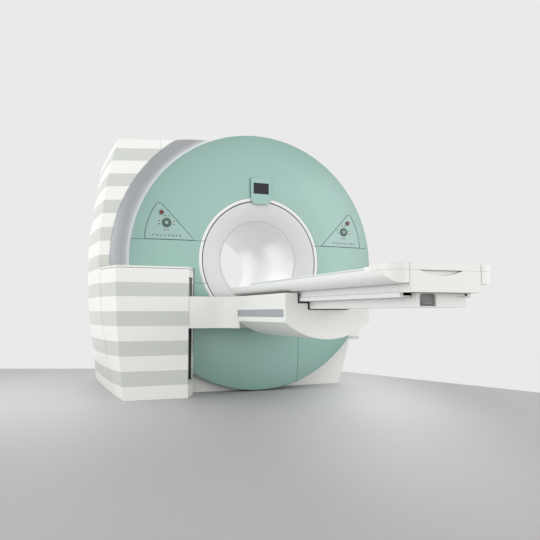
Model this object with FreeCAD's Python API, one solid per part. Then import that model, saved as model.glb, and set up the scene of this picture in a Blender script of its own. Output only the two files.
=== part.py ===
import FreeCAD, Part
import math
import os

# Whole-body magnet scanner with a round front ring, a striped side tower and a
# cantilevered patient table. Millimetres, +Z up, +X to the right seen from the
# table end, +Y along the bore towards the rear. The origin is on the floor,
# straight below the isocentre. Depths in this file (y) are counted from the rim
# plane of the front ring, and save() moves every piece to the origin.

# ---- magnet and bore ----
axis_height = 1005.0
isocentre_depth = 700.0
bore_radius = 305.0
liner_wall = 6.0
slip_fit = 0.3
body_coil_wall = 30.0
body_coil_half = 500.0
gradient_wall = 100.0
gradient_inset = 5.0
floor_rise = 10.0896
tunnel_front = 14.0
tunnel_rear = 1262.0
vessel_front = 130.0
vessel_rear = 1250.0
vessel_radius = 860.0
vessel_wall = 10.0
helium_gap = 30.0
helium_wall = 6.0
coil_thick = 70.0
coil_rings = ((-430.0, 65.0), (0.0, 120.0), (430.0, 65.0))
support_side = 40.0
support_inset = 250.0
flange_side = 160.0
flange_thick = 16.0
neck_angle = -48.0
neck_radius = 110.0
neck_height = 170.0

# ---- front ring, trim and funnel ----
ring_radius = 1000.0
ring_inner = 495.0
ring_dish = 38.0
ring_lead = 4.0
ring_crown = 11.0
ring_depth = 60.0
rim_round = 16.0
cover_wall = 7.0
seam_gap = 3.0
cover_fit = 0.6
body_seam = 0.8
upper_seam_rise = 135.0
left_seam_drop = 182.0
lower_seam_x = 323.0
trim_inner = 470.0
trim_front = -41.0
trim_depth = 30.0
trim_gap = 8.0
funnel_mouth = 318.0
funnel_wall = 7.0
bulkhead_thick = 6.0
post_inset = 157.0
post_side = 24.0
post_angles = (0, 60, 120, 180, 300)
dish_runs = 3

# ---- striped body, silver ring and tower ----
top_reach = 923.5
tower_stripes = 9
body_stripes = 19
silver_reach = 128.0
silver_front = 20.0
silver_rear = 100.0
silver_rim = 20.0
silver_crown = 12.0
body_left = -1226.0
belly_drop = 55.0
right_radius = 980.0
right_foot = 816.0
body_rear = 1480.0
rear_corner = 150.0
facet_slope = 0.47
left_skirt_y = 90.0
right_skirt_y = 230.0
right_skirt_height = 380.0
top_cover_left = -760.0
top_cover_right = 330.0
tower_front = -200.0
tower_seam_y = 81.0
tower_right = -610.0
tower_inner_x = -530.0
tower_inner_y = -30.0
tower_wall = 8.0
cap_height = 16.0
slot_bottom = 122.0
slot_drop = 55.5
slot_front_y = -194.0
slot_rear_y = -54.0

# ---- patient table, at scanning height ----
board_drop = 220.0
board_half = 195.0
board_thick = 18.0
board_head = -270.0
board_corner = 60.0
frame_glide = 0.3
rail_glide = 1.0
pad_half = 185.0
pad_edge = 10.0
pad_thick = 19.0
pad_foot = -1930.0
socket_block_foot = -2130.0
foot_end = -2300.0
foot_flat_half = 188.0
foot_side_y = -2225.0
foot_board_thick = 31.0
frame_half = 280.0
frame_head = -110.0
frame_height = 57.0
frame_edge = 8.0
frame_tuck = 41.0
channel_half = 60.0
channel_depth = 36.0
beam_half = 190.0
beam_height = 59.0
lower_beam_half = 125.0
lower_beam_height = 44.0
carrier_half = 280.0
carrier_front = -1180.0
carrier_drop = 66.0
carrier_side = 175.0
belly_depth = 101.0
arm_front = -190.0
arm_rear = -60.0
arm_height = 228.0
arm_blend = 150.0
beam_gap = 6.0
shell = 8.0
plate = 12.0
strip_height = 46.0
strip_sunk = 3.5
beam_neck = 90.0
beam_wall = 8.0
foot_seam = 2.0
panel_drop = 39.0
scoop_half = 115.0
scoop_height = 24.0
scoop_depth = 14.0
socket_left = -114.0
socket_right = -29.0
socket_corner = 16.0

# ---- lift column in the tower ----
column_x = -900.0
column_side = 170.0
column_drop = 33.5
column_wall = 10.0
foot_thick = 15.0
rail_width = 22.0
rail_offset = 50.0
screw_radius = 10.0
screw_fit = 0.05
gearbox_top = 70.0

# ---- buttons ----
panel_lift = 2.2
panel_foot = 4.0
groove_wide = 7.0
groove_deep = 3.0
button_travel = 2.0
stop_radius = 15.0
stem_half = 7.0
pad_radius = 33.0
centre_half = 12.0

# ---- derived levels ----
body_top = axis_height + top_reach
stripe = body_top / body_stripes
tower_height = stripe * tower_stripes
slot_top = tower_height - slot_drop
column_height = tower_height - column_drop
belly_height = axis_height - belly_drop
saddle_top = axis_height - 0.8 * vessel_radius + 3
upper_seam_z = axis_height + upper_seam_rise
left_seam_z = axis_height - left_seam_drop
silver_radius = ring_radius + silver_reach
stand_radius = ring_radius - post_inset
board_bottom = axis_height - board_drop
board_top = board_bottom + board_thick
rail_top = board_bottom - rail_glide
frame_top = board_bottom - frame_glide
frame_bottom = frame_top - frame_height
beam_bottom = frame_bottom - beam_height
lower_beam_bottom = beam_bottom - lower_beam_height
carrier_top = frame_top - carrier_drop
carrier_lip = carrier_top - carrier_side
belly_bottom = carrier_lip - belly_depth
arm_bottom = carrier_top - arm_height
strip_bottom = carrier_lip + 32.0
belly_rear = arm_front - arm_blend - 0.6
body_coil_inner = bore_radius + liner_wall + slip_fit
gradient_inner = body_coil_inner + body_coil_wall + slip_fit
gradient_outer = gradient_inner + gradient_wall
warm_bore = gradient_outer + slip_fit
column_front = tower_front + tower_wall + slip_fit
column_y = column_front + column_side / 2
column_face = column_x + column_side / 2
ring_front = -ring_dish
ring_corner = ring_radius - rim_round
ring_middle = 0.5 * (ring_inner + ring_radius)
ring_crest = 0.5 * (ring_front - ring_lead) - ring_crown
silver_end = -0.38 * ring_radius
far = 3000.0
axis = FreeCAD.Vector(0, 0, axis_height)
along = FreeCAD.Vector(0, 1, 0)

# Left side of the housing: depth, then how far the waist and the foot lie in
# from the widest point.
side_stations = (
    (tower_front, 104.0, 172.0),
    (tower_seam_y, 31.0, 158.0),
    (320.0, 10.0, 153.0),
    (557.0, 0.0, 151.0),
    (850.0, 17.0, 152.0),
    (1200.0, 66.0, 154.0),
    (body_rear + 40.0, 112.0, 170.0),
)


def vec(x, y, z):
    return FreeCAD.Vector(x, y, z)


def save(node, *solids):
    """Write one node, moved so that the origin lies below the isocentre."""
    shape = Part.makeCompound([s.copy() for s in solids]) if len(solids) > 1 else solids[0].copy()
    shape.translate(vec(0, -isocentre_depth, 0))
    shape.exportStep("parts/" + node + ".step")


def block(x0, x1, y0, y1, z0, z1):
    return Part.makeBox(x1 - x0, y1 - y0, z1 - z0, vec(x0, y0, z0))


def outline(place, start, *steps):
    """A closed face: a step with one point is a line, one with two is an arc by way of the first."""
    edges = []
    here = start
    for step in list(steps) + [start]:
        if isinstance(step[0], tuple):
            by, to = step
            edges.append(Part.Arc(place(*here), place(*by), place(*to)).toShape())
        else:
            to = step
            if to != here:
                edges.append(Part.makeLine(place(*here), place(*to)))
        here = to
    return Part.Face(Part.Wire(edges))


def turned(start, *steps):
    """A solid of revolution about the bore axis, from a profile of (radius, depth)."""
    face = outline(lambda r, y: vec(r, y, axis_height), start, *steps)
    return face.revolve(axis, along, 360)


def plan(z0, z1, start, *steps):
    """A vertical prism from an outline of (x, y)."""
    return outline(lambda x, y: vec(x, y, z0), start, *steps).extrude(vec(0, 0, z1 - z0))


def section(y0, y1, start, *steps):
    """A prism along the bore from an outline of (x, z)."""
    return outline(lambda x, z: vec(x, y0, z), start, *steps).extrude(vec(0, y1 - y0, 0))


def round_along(radius, y0, y1):
    return Part.makeCylinder(radius, y1 - y0, vec(0, y0, axis_height), along)


def tube(inner, outer, y0, y1):
    return round_along(outer, y0, y1).cut(round_along(inner, y0 - 1, y1 + 1))


def cylinder_y(radius, y0, y1, x, z):
    return Part.makeCylinder(radius, y1 - y0, vec(x, y0, z), along)


def mirrored(shape):
    return shape.mirror(vec(0, 0, 0), vec(1, 0, 0))


def corner_point(radius):
    """How far an arc's middle lies in from the corner that it rounds."""
    return radius * (1 - math.sqrt(0.5))


def bent(start, by, end, runs):
    """An arc through three points as short straight runs: their corners, from the second on."""
    (x1, y1), (x2, y2), (x3, y3) = start, by, end
    a, b, c, d = x1 - x2, y1 - y2, x1 - x3, y1 - y3
    e = (x1 * x1 - x2 * x2 + y1 * y1 - y2 * y2) / 2
    f = (x1 * x1 - x3 * x3 + y1 * y1 - y3 * y3) / 2
    det = a * d - b * c
    cx, cy = (e * d - b * f) / det, (a * f - e * c) / det
    radius = math.hypot(x1 - cx, y1 - cy)
    first = math.atan2(y1 - cy, x1 - cx)
    turn = math.remainder(math.atan2(y3 - cy, x3 - cx) - first, math.tau)
    corners = []
    for n in range(1, runs):
        angle = first + turn * n / runs
        corners.append((cx + radius * math.cos(angle), cy + radius * math.sin(angle)))
    return corners + [end]


# ---------------------------------------------------------------- magnet


def vessel_shell(reach, wall):
    outer = tube(warm_bore + reach, vessel_radius - reach, vessel_front + reach, vessel_rear - reach)
    reach += wall
    inner = tube(warm_bore + reach, vessel_radius - reach, vessel_front + reach, vessel_rear - reach)
    return outer.cut(inner)


def vacuum_vessel():
    """Steel vessel with a service neck on its upper left."""
    foot = vec(0, 0, vessel_radius - vessel_wall)
    neck = Part.makeCylinder(neck_radius, neck_height + vessel_wall, foot, vec(0, 0, 1))
    neck.rotate(vec(0, 0, 0), along, neck_angle)
    neck.translate(vec(0, isocentre_depth, axis_height))
    neck = neck.cut(round_along(vessel_radius - vessel_wall / 2, 0, far))
    return vessel_shell(0, vessel_wall).fuse(neck)


def helium_vessel():
    return vessel_shell(vessel_wall + helium_gap, helium_wall)


def main_coils():
    """Superconducting windings on the inner wall of the helium vessel."""
    seat = warm_bore + vessel_wall + helium_gap + helium_wall + slip_fit
    middle = (vessel_front + vessel_rear) / 2
    rings = []
    for offset, half_width in coil_rings:
        centre = middle + offset
        rings.append(tube(seat, seat + coil_thick, centre - half_width, centre + half_width))
    return rings


def suspension():
    """Glass-fibre blocks that hold the cold vessel inside the warm one."""
    outer = vessel_radius - vessel_wall - slip_fit
    inner = vessel_radius - vessel_wall - helium_gap + slip_fit
    half = support_side / 2
    blocks = []
    for angle in (45, 135, 225, 315):
        for depth in (vessel_front + support_inset, vessel_rear - support_inset):
            bar = block(-half, half, depth - half, depth + half, inner - half, outer + half)
            bar.rotate(vec(0, 0, 0), along, angle)
            bar.translate(vec(0, 0, axis_height))
            blocks.append(bar.common(tube(inner, outer, depth - support_side, depth + support_side)))
    return blocks


def cold_head():
    """Refrigerator head on top of the neck: a square flange with the round machine on it."""
    base = vessel_radius + neck_height
    half = flange_side / 2
    head = block(-half, half, -half, half, base, base + flange_thick)
    head = head.fuse(Part.makeCylinder(62, 70, vec(0, 0, base + flange_thick), vec(0, 0, 1)))
    head.rotate(vec(0, 0, 0), along, neck_angle)
    head.translate(vec(0, isocentre_depth, axis_height))
    return head


def magnet_base():
    """Base plate with four saddles for the vessel and a tie to the lift column."""
    rear = 1220
    base = block(-480, 480, right_skirt_y + 2 * cover_wall, rear, 0, 20)
    base = base.fuse(block(-960, -cover_wall - 2, left_skirt_y + 2 * cover_wall, 400, 0, 20))
    for side in (-1, 1):
        for depth in (300.0, 1080.0):
            base = base.fuse(block(side * 380 - 80, side * 380 + 80, depth - 60, depth + 60, 20, saddle_top))
    return base.cut(round_along(vessel_radius + slip_fit, 0, far)).removeSplitter()


# ---------------------------------------------------------------- bore


def tunnel_liner():
    """Fibre tube that the patient lies in, chamfered at its front edge."""
    wall = bore_radius + liner_wall
    return turned(
        (bore_radius, tunnel_front + liner_wall),
        (bore_radius, tunnel_rear),
        (wall, tunnel_rear),
        (wall, tunnel_front),
        (wall - 1, tunnel_front),
    )


def tunnel_rails():
    """Grooved rails that the tabletop slides on, one on each side of the floor panel."""
    inner = 0.62 * board_half
    reach = bore_radius - slip_fit
    rail = block(inner, bore_radius, tunnel_front + 18, tunnel_rear - 10, 0, rail_top)
    rail = rail.common(round_along(reach, 0, far))
    rail = rail.cut(block(inner - 1, inner + 26, 0, far, rail_top - 34, rail_top - 18))
    return mirrored(rail), rail


def tunnel_floor():
    """Flat floor panel between the rails."""
    inner = 0.62 * board_half
    half = inner - cover_fit
    top = axis_height - math.sqrt(bore_radius**2 - inner**2) + floor_rise
    floor = block(-half, half, tunnel_front + 18, tunnel_rear - 10, 0, top)
    return floor.common(round_along(bore_radius - slip_fit, 0, far))


def front_funnel():
    """White lip between the trim ring and the tunnel."""
    mouth = trim_inner - trim_gap
    lip = (mouth, trim_front + 7)
    neck = (funnel_mouth, tunnel_front - 6)
    middle = (0.5 * (mouth + funnel_mouth) + 14, trim_front + 17)
    inner = bore_radius + liner_wall + cover_fit
    return turned(
        lip,
        *bent(lip, middle, neck, 3),
        (inner, tunnel_front + 3),
        (inner, tunnel_front + 20),
        (mouth, trim_front + 8 + funnel_wall),
    )


def rear_funnel():
    """White cone from the tunnel out to the rear cover."""
    mouth = trim_inner - trim_gap
    back = bore_radius + liner_wall + cover_fit
    start = tunnel_rear - 30
    end = body_rear + 6
    return turned(
        (back, start),
        (back, tunnel_rear + 2),
        (mouth, end),
        (mouth, end - 2 * funnel_wall),
        (back + funnel_wall, start),
    )


# ---------------------------------------------------------------- front ring


def tower_clearance(gap):
    """The space that the tower takes up, which the ring's pieces leave free."""
    return block(-far, tower_inner_x + gap, -far, tower_seam_y + gap, -1, tower_height + cap_height + gap)


def ring_form():
    """The whole dished front cover before it is split, from its inner edge to its rim wall."""
    corner = corner_point(rim_round)
    edge = (ring_corner, -ring_lead)
    side = (ring_radius, rim_round - ring_lead)
    return turned(
        *ring_face(),
        *bent(edge, (ring_radius - corner, corner - ring_lead), side, 2),
        (ring_radius, ring_depth),
        (ring_radius - cover_wall, ring_depth),
        (ring_radius - cover_wall, rim_round),
        (ring_corner - cover_wall, cover_wall),
        (ring_middle, ring_crest + cover_wall),
        (ring_inner, ring_front + cover_wall),
    )


def ring_face():
    """Corners of the dished face's profile, from its inner edge out."""
    start = (ring_inner, ring_front)
    return [start] + bent(start, (ring_middle, ring_crest), (ring_corner, -ring_lead), dish_runs)


def split(ring, part):
    """One of the four pieces that the seams divide the ring into."""
    half = seam_gap / 2
    bounds = {
        "upper": (-far, far, upper_seam_z + half, far),
        "left": (-far, 0, left_seam_z + half, upper_seam_z - half),
        "lower": (-far, lower_seam_x - half, -far, left_seam_z - half),
        "right": (lower_seam_x + half, far, -far, upper_seam_z - half),
    }
    x0, x1, z0, z1 = bounds[part]
    return ring.common(block(x0, x1, -far, far, z0, z1)).cut(tower_clearance(seam_gap))


def trim_form():
    outer = ring_inner - cover_fit
    back = trim_front + trim_depth
    inside = (trim_inner, trim_front + 4)
    crest = (0.5 * (trim_inner + outer), trim_front)
    return turned(inside, crest, (outer, trim_front + 5), (outer, back), (trim_inner, back))


def cover_bulkhead():
    """Plate behind the front covers, with a sleeve for the trim and posts to the vessel."""
    outer = ring_radius - cover_wall - slip_fit
    sleeve = trim_inner + 10
    front = trim_front + trim_depth
    back = ring_depth
    shape = turned(
        (sleeve, front),
        (sleeve, back),
        (outer, back),
        (outer, back - bulkhead_thick),
        (sleeve + bulkhead_thick, back - bulkhead_thick),
        (sleeve + bulkhead_thick, front),
    )
    half = post_side / 2
    for angle in post_angles:
        post = block(-half, half, back - 1, vessel_front, stand_radius - half, stand_radius + half)
        post.rotate(vec(0, 0, 0), along, angle)
        post.translate(vec(0, 0, axis_height))
        shape = shape.fuse(post)
    return shape.cut(tower_clearance(seam_gap))


def silver_ring():
    """Bare metal ring cover behind the left half of the front ring."""
    inner = ring_radius + cover_fit
    middle = 0.5 * (inner + silver_radius)
    start = (inner, silver_front)
    outer = (silver_radius, silver_rear)
    bulge = (middle + silver_crown, silver_front + 22)
    front = [start] + bent(start, bulge, outer, 4)
    back = (silver_radius - cover_wall, silver_rear)
    bulge = (middle + 7, silver_front + 30)
    ring = turned(
        *front,
        (silver_radius, silver_rear + silver_rim),
        (silver_radius - cover_wall, silver_rear + silver_rim),
        back,
        *bent(back, bulge, (inner, silver_front + cover_wall), 3),
    )
    space = turned(*front, (inner, silver_rear))
    lid = body_top - cover_wall
    cap = space.common(block(-far, silver_end, -far, silver_rear - cover_fit, lid, body_top))
    keep = block(-far, silver_end, -far, far, tower_height + cap_height + seam_gap, body_top)
    return ring.common(keep).fuse(cap).removeSplitter()


# ---------------------------------------------------------------- body covers


def left_form(inset):
    """Solid whose left side is the barrel-shaped flank that body and tower share."""
    low = -50.0
    high = 2 * belly_height - low
    wires = []
    for y, waist, foot in side_stations:
        widest = body_left + waist + inset
        edge = body_left + foot + inset + (foot - waist) * 0.11
        arc = Part.Arc(vec(edge, y, low), vec(widest, y, belly_height), vec(edge, y, high)).toShape()
        top = Part.makeLine(vec(edge, y, high), vec(far, y, high))
        right = Part.makeLine(vec(far, y, high), vec(far, y, low))
        bottom = Part.makeLine(vec(far, y, low), vec(edge, y, low))
        wires.append(Part.Wire([arc, top, right, bottom]))
    return Part.makeLoft(wires, True, True)


def body_form(inset):
    """Outer form of the striped housing, or that form moved in by a wall."""
    top = body_top - inset
    right = right_radius - inset
    foot = right_foot - inset
    floor = 0.0 if inset == 0 else -20.0
    top_x = math.sqrt(right**2 - (top - axis_height) ** 2)
    arc_x = right * math.cos(math.radians(35))
    arc_z = axis_height + right * math.sin(math.radians(35))
    form = section(
        0,
        body_rear + 20,
        (-far, floor),
        (-far, top),
        (top_x, top),
        ((arc_x, arc_z), (right, axis_height)),
        ((foot + 0.72 * (right - foot), 0.42 * axis_height), (foot, floor)),
    )
    rear = body_rear - inset
    corner = rear_corner - inset
    mid = corner_point(corner)
    left = body_left + 110 + inset
    ground = plan(
        -far,
        far,
        (-far, -1),
        (far, -1),
        (far, rear - corner),
        (right, rear - corner),
        ((right - mid, rear - mid), (right - corner, rear)),
        (left + corner, rear),
        ((left + mid, rear - mid), (left, rear - corner)),
        (-far, rear - corner),
    )
    form = form.common(ground).common(left_form(inset))
    return form.cut(front_cutter(inset))


def front_cutter(inset):
    """Everything in front of the housing: a shallow cone, the tower and the plinth's recesses."""
    reach = 900.0
    start = silver_rear + inset
    top = tower_height + cap_height + seam_gap
    cone = turned(
        (0, -far),
        (silver_radius + reach, -far),
        (silver_radius + reach, start + facet_slope * reach),
        (silver_radius, start),
        (0, start),
    )
    cone = cone.common(block(-far, silver_end, -far, far, -far, far))
    behind_ring = block(silver_end - 1, far, -far, ring_depth + seam_gap + inset, -far, far)
    tower = block(-far, tower_inner_x + seam_gap, -far, tower_seam_y + seam_gap + inset, -far, top)
    left = block(-far, inset, -far, left_skirt_y + inset, -far, top)
    right = block(0 - inset, far, -far, right_skirt_y + inset, -far, right_skirt_height + inset)
    cone = cone.cut(block(-far, far, -far, far, -far, top))
    return cone.fuse([behind_ring, tower, left, right])


def housing():
    """The whole striped housing as one wall, before it is divided into covers."""
    walls = body_form(0.0).cut(body_form(cover_wall))
    walls = walls.cut(round_along(vessel_radius + 4, -10, body_rear - rear_corner))
    top = tower_height + cap_height + seam_gap
    ring_hole = round_along(silver_radius + cover_fit, -10, silver_rear + 60)
    lid = body_top - cover_wall
    walls = walls.cut(ring_hole.common(block(-far, silver_end - cover_wall, -far, far, top, lid)))
    rim = tube(
        silver_radius - cover_wall - cover_fit,
        silver_radius + cover_fit,
        -10,
        silver_rear + silver_rim + cover_fit,
    )
    walls = walls.cut(rim.common(block(-far, silver_end, -far, far, top, far)))
    behind_tower = block(body_left + 190, tower_inner_x + seam_gap, -10, left_skirt_y + 20, -1, top)
    return walls.cut(behind_tower)


def keep_largest(shape):
    return max(shape.Solids, key=lambda s: s.Volume)


def body_covers():
    """Left, top, right and rear cover of the housing."""
    walls = housing()
    split_y = body_rear - rear_corner
    left = walls.common(block(-far, top_cover_left, -far, split_y, -1, far))
    top = walls.common(block(top_cover_left + body_seam, top_cover_right, -far, split_y, axis_height, far))
    right = walls.common(block(top_cover_right + body_seam, far, -far, split_y, -1, far))
    skirt = walls.common(block(top_cover_left + body_seam, top_cover_right, -far, split_y, -1, axis_height))
    rear = walls.common(block(-far, far, split_y + body_seam, far, -1, far))
    rear = rear.cut(round_along(trim_inner + 1, 0, far))
    return left, top, right, skirt, rear


# ---------------------------------------------------------------- tower


def tower_form(inset, z0, z1, rear):
    """The tower's outer form between two heights, or that form moved in by a wall."""
    front = tower_front + inset
    right = tower_right - 0.8 * inset
    inner_x = tower_inner_x - inset
    ground = plan(
        z0,
        z1,
        (-far, front),
        (right, front),
        (inner_x, tower_inner_y),
        (inner_x, rear),
        (-far, rear),
    )
    return ground.common(left_form(inset))


def tower_shell():
    outer = tower_form(0, 0, tower_height, tower_seam_y)
    inner = tower_form(tower_wall, -40, tower_height + 40, tower_seam_y + 20)
    slot = block(tower_right - tower_wall, 0, slot_front_y, slot_rear_y, slot_bottom, slot_top)
    return outer.cut(inner).cut(slot)


def tower_cap():
    """Lid with a lip that drops into the shell."""
    lid = tower_form(0, tower_height + seam_gap, tower_height + cap_height, tower_seam_y)
    lip = tower_form(tower_wall + slip_fit, tower_height - 24, tower_height + seam_gap, tower_seam_y - 2)
    hollow = tower_form(tower_wall + 8, tower_height - 30, tower_height + seam_gap, tower_seam_y + 5)
    return lid.fuse(lip.cut(hollow))


def lift_column():
    """Box column on a foot plate, with two rails and a top bearing for the screw."""
    half = column_side / 2
    top = column_height
    outer = block(column_x - half, column_face, column_front, column_front + column_side, foot_thick, top)
    inner = block(
        column_x - half + column_wall,
        column_face - column_wall,
        column_front + column_wall,
        column_front + column_side - column_wall,
        foot_thick,
        top + 1,
    )
    foot_rear = left_skirt_y + 2 * cover_wall - slip_fit
    foot = block(-1010, -660, column_front + 8, foot_rear, 0, foot_thick)
    bearing = block(column_face, column_face + 34, column_y - 22, column_y + 22, top - 18, top)
    hole = Part.makeCylinder(screw_radius + screw_fit, 40, vec(screw_x(), column_y, top - 30), vec(0, 0, 1))
    return outer.cut(inner).fuse(foot).fuse(bearing.cut(hole)).removeSplitter()


def screw_x():
    return column_face + screw_radius + 2


def lift_rails():
    rails = []
    for side in (-1, 1):
        y = column_y + side * rail_offset
        half = rail_width / 2
        top = column_height - 30
        rails.append(block(column_face, column_face + rail_width, y - half, y + half, gearbox_top + 2, top))
    return rails


def lift_screw():
    foot = vec(screw_x(), column_y, gearbox_top)
    return Part.makeCylinder(screw_radius, column_height - gearbox_top, foot, vec(0, 0, 1))


def lift_motor():
    """Gearbox under the screw with the motor standing on it."""
    box = block(column_face, column_face + 115, column_y - 25, 50, foot_thick, gearbox_top)
    motor = Part.makeCylinder(38, 150, vec(column_face + 72, 8, gearbox_top), vec(0, 0, 1))
    return box.fuse(motor)


def carriage_x():
    return column_face + rail_width + 2


def lift_carriage():
    """Plate with four runner blocks that ride on the rails."""
    x = carriage_x()
    z0 = arm_bottom - 30
    z1 = carrier_top + 30
    slab = block(x, x + 26, column_y - 80, column_y + 80, z0, z1)
    half = rail_width / 2 + slip_fit
    for side in (-1, 1):
        y = column_y + side * rail_offset
        for z in (z0, z1 - 70):
            runner = block(x - 14, x, y - 25, y + 25, z, z + 70)
            slab = slab.fuse(runner.cut(block(x - 20, x - 2 + slip_fit, y - half, y + half, z - 1, z + 71)))
    return slab


def lift_nut():
    x = carriage_x()
    z = arm_bottom + 100
    body = block(column_face + 1.5, x, column_y - 24, column_y + 24, z, z + 50)
    foot = vec(screw_x(), column_y, z - 5)
    return body.cut(Part.makeCylinder(screw_radius + screw_fit, 60, foot, vec(0, 0, 1)))


def arm_beam():
    """Steel box beam from the carriage to the middle of the table, with a cross member."""
    x = carriage_x() + 26
    front = arm_front + 20
    outer = block(x, 150, front, arm_rear - 20, arm_bottom + 20, carrier_top - 20)
    inner = block(x + 12, 140, front + 12, arm_rear - 32, arm_bottom + 32, carrier_top - 32)
    inside = carrier_half - shell
    cross = block(-inside, inside, front - 110, arm_front - 1, arm_bottom + 60, lower_beam_bottom)
    neck = block(-beam_neck, beam_neck, arm_front - 1, front, arm_bottom + 60, lower_beam_bottom - 10)
    return outer.cut(inner).fuse([cross, neck]).removeSplitter()


# ---------------------------------------------------------------- table carrier


def beam_profile(gap):
    """Stepped outline round both beams, with a gap, down from the carrier's top."""
    return (
        (-beam_half - gap, carrier_top + 1),
        (beam_half + gap, carrier_top + 1),
        (beam_half + gap, beam_bottom - gap),
        (lower_beam_half + gap, beam_bottom - gap),
        (lower_beam_half + gap, lower_beam_bottom - gap),
        (-lower_beam_half - gap, lower_beam_bottom - gap),
        (-lower_beam_half - gap, beam_bottom - gap),
        (-beam_half - gap, beam_bottom - gap),
    )


def arm_cover():
    """White cover of the arm: a long box that sweeps round into the carrier's left side."""
    start = tower_inner_x - 95
    side = -carrier_half
    mid = corner_point(arm_blend)
    sweep = plan(
        arm_bottom,
        carrier_top,
        (start, arm_front),
        (side - arm_blend, arm_front),
        ((side - mid, arm_front - mid), (side, arm_front - arm_blend)),
        (side, carrier_front + plate),
        (side + shell, carrier_front + plate),
        (side + shell, arm_front),
        (carrier_half, arm_front),
        (carrier_half, arm_rear),
        (start, arm_rear),
    )
    inside = shell
    hollow = block(
        start - 1,
        carrier_half - inside,
        arm_front + inside,
        arm_rear - inside,
        arm_bottom + inside,
        carrier_top - inside,
    )
    under = block(side - 1, side + shell + 1, carrier_front, arm_front - arm_blend, 0, carrier_lip)
    strip_top = strip_bottom + strip_height
    groove = block(side - 1, side + strip_sunk, carrier_front + 30, arm_front - 5, strip_bottom, strip_top)
    start_point, *steps = beam_profile(beam_gap)
    mouth = section(arm_front - 1, arm_front + 24, start_point, *steps)
    half = beam_neck + beam_gap
    neck = block(-half, half, arm_front - 1, arm_front + 20, arm_bottom + 57, lower_beam_bottom)
    return sweep.cut(hollow).cut(under).cut(groove).cut(mouth).cut(neck)


def inlay_strip():
    side = -carrier_half
    return block(
        side + 1,
        side + strip_sunk,
        carrier_front + 31,
        arm_front - 6,
        strip_bottom + 0.5,
        strip_bottom + strip_height - 0.5,
    )


def right_side_panel():
    side = carrier_half
    return block(side - shell, side, carrier_front + plate, arm_front, carrier_lip, carrier_top)


def carrier_belly():
    """Half-round underside of the carrier, closed at its rear end."""
    half = carrier_half
    outer = section(
        carrier_front + plate,
        belly_rear,
        (-half, carrier_lip),
        ((0, belly_bottom), (half, carrier_lip)),
    )
    inner = section(
        carrier_front + plate - 1,
        belly_rear - shell,
        (-half + 3 * shell, carrier_lip + 1),
        ((0, belly_bottom + shell), (half - 3 * shell, carrier_lip + 1)),
    )
    return outer.cut(inner)


def end_plate():
    """Half-round plate at the patient end, with a stepped opening for the beams."""
    half = carrier_half
    whole = section(
        carrier_front,
        carrier_front + plate,
        (-half, carrier_top),
        (-half, carrier_lip),
        ((0, belly_bottom), (half, carrier_lip)),
        (half, carrier_top),
    )
    start_point, *steps = beam_profile(beam_gap)
    return whole.cut(section(carrier_front - 1, carrier_front + plate + 1, start_point, *steps))


def table_beams():
    """Two stacked extrusions that carry the table from the carrier to the foot end."""
    y0 = foot_side_y
    y1 = arm_front + 20
    flange = 21.0
    waist = beam_half - 8
    upper = section(
        y0,
        y1,
        (-beam_half, beam_bottom),
        (beam_half, beam_bottom),
        (beam_half, beam_bottom + flange),
        (waist, beam_bottom + flange),
        (waist, frame_bottom),
        (-waist, frame_bottom),
        (-waist, beam_bottom + flange),
        (-beam_half, beam_bottom + flange),
    )
    half = waist - 10
    upper = upper.cut(block(-half, half, y0 - 1, y1 + 1, beam_bottom + beam_wall, frame_bottom - beam_wall))
    lower = block(-lower_beam_half, lower_beam_half, y0, y1, lower_beam_bottom, beam_bottom)
    half = lower_beam_half - beam_wall
    low = lower_beam_bottom + beam_wall
    return upper, lower.cut(block(-half, half, y0 - 1, y1 + 1, low, beam_bottom - beam_wall))


def frame_section(y0, y1, *middle):
    """The tray's section: upright edges, then sides that curve in under it."""
    half = frame_half
    edge = frame_top - frame_edge
    foot = half - frame_tuck
    low = frame_bottom
    bulge = (half - 13, low + 16)
    return section(
        y0,
        y1,
        (-half, frame_top),
        (-half, edge),
        ((-bulge[0], bulge[1]), (-foot, low)),
        (foot, low),
        (bulge, (half, edge)),
        (half, frame_top),
        *middle,
    )


def table_frame():
    """Tray under the tabletop, open along the middle for the drive, cut back below at its head."""
    top = frame_top
    bottom = top - channel_depth
    tray = frame_section(
        foot_side_y,
        frame_head,
        (channel_half, top),
        (channel_half, bottom),
        (-channel_half, bottom),
        (-channel_half, top),
    )
    y = frame_head
    z = frame_bottom - 1
    undercut = outline(
        lambda a, b: vec(-far, a, b),
        (y - 36, z),
        ((y - 20, z + 32), (y + 1, top - frame_edge)),
        (y + 1, z),
    ).extrude(vec(2 * far, 0, 0))
    return tray.cut(undercut)


def belt_ends():
    return foot_side_y + 90, frame_head - 60


def belt_axis():
    return frame_top - 18


def drive_belt():
    """Belt loop in the tray's channel that pulls the tabletop."""
    y0, y1 = belt_ends()
    z = belt_axis()
    outer = block(-15, 15, y0, y1, z - 12, z + 12)
    inner = block(-16, 16, y0, y1, z - 9, z + 9)
    for y in (y0, y1):
        outer = outer.fuse(Part.makeCylinder(12, 30, vec(-15, y, z), vec(1, 0, 0)))
        inner = inner.fuse(Part.makeCylinder(9, 32, vec(-16, y, z), vec(1, 0, 0)))
    return outer.cut(inner).removeSplitter()


def belt_pulleys():
    """Two pulleys between bearing blocks that stand in the channel."""
    z = belt_axis()
    low = frame_top - channel_depth
    out = []
    for y in belt_ends():
        pulley = Part.makeCylinder(9 - slip_fit, 34, vec(-17, y, z), vec(1, 0, 0))
        left = block(-27, -17, y - 9, y + 9, low, z + 9)
        out.append(pulley.fuse([left, mirrored(left)]))
    return out


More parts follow.
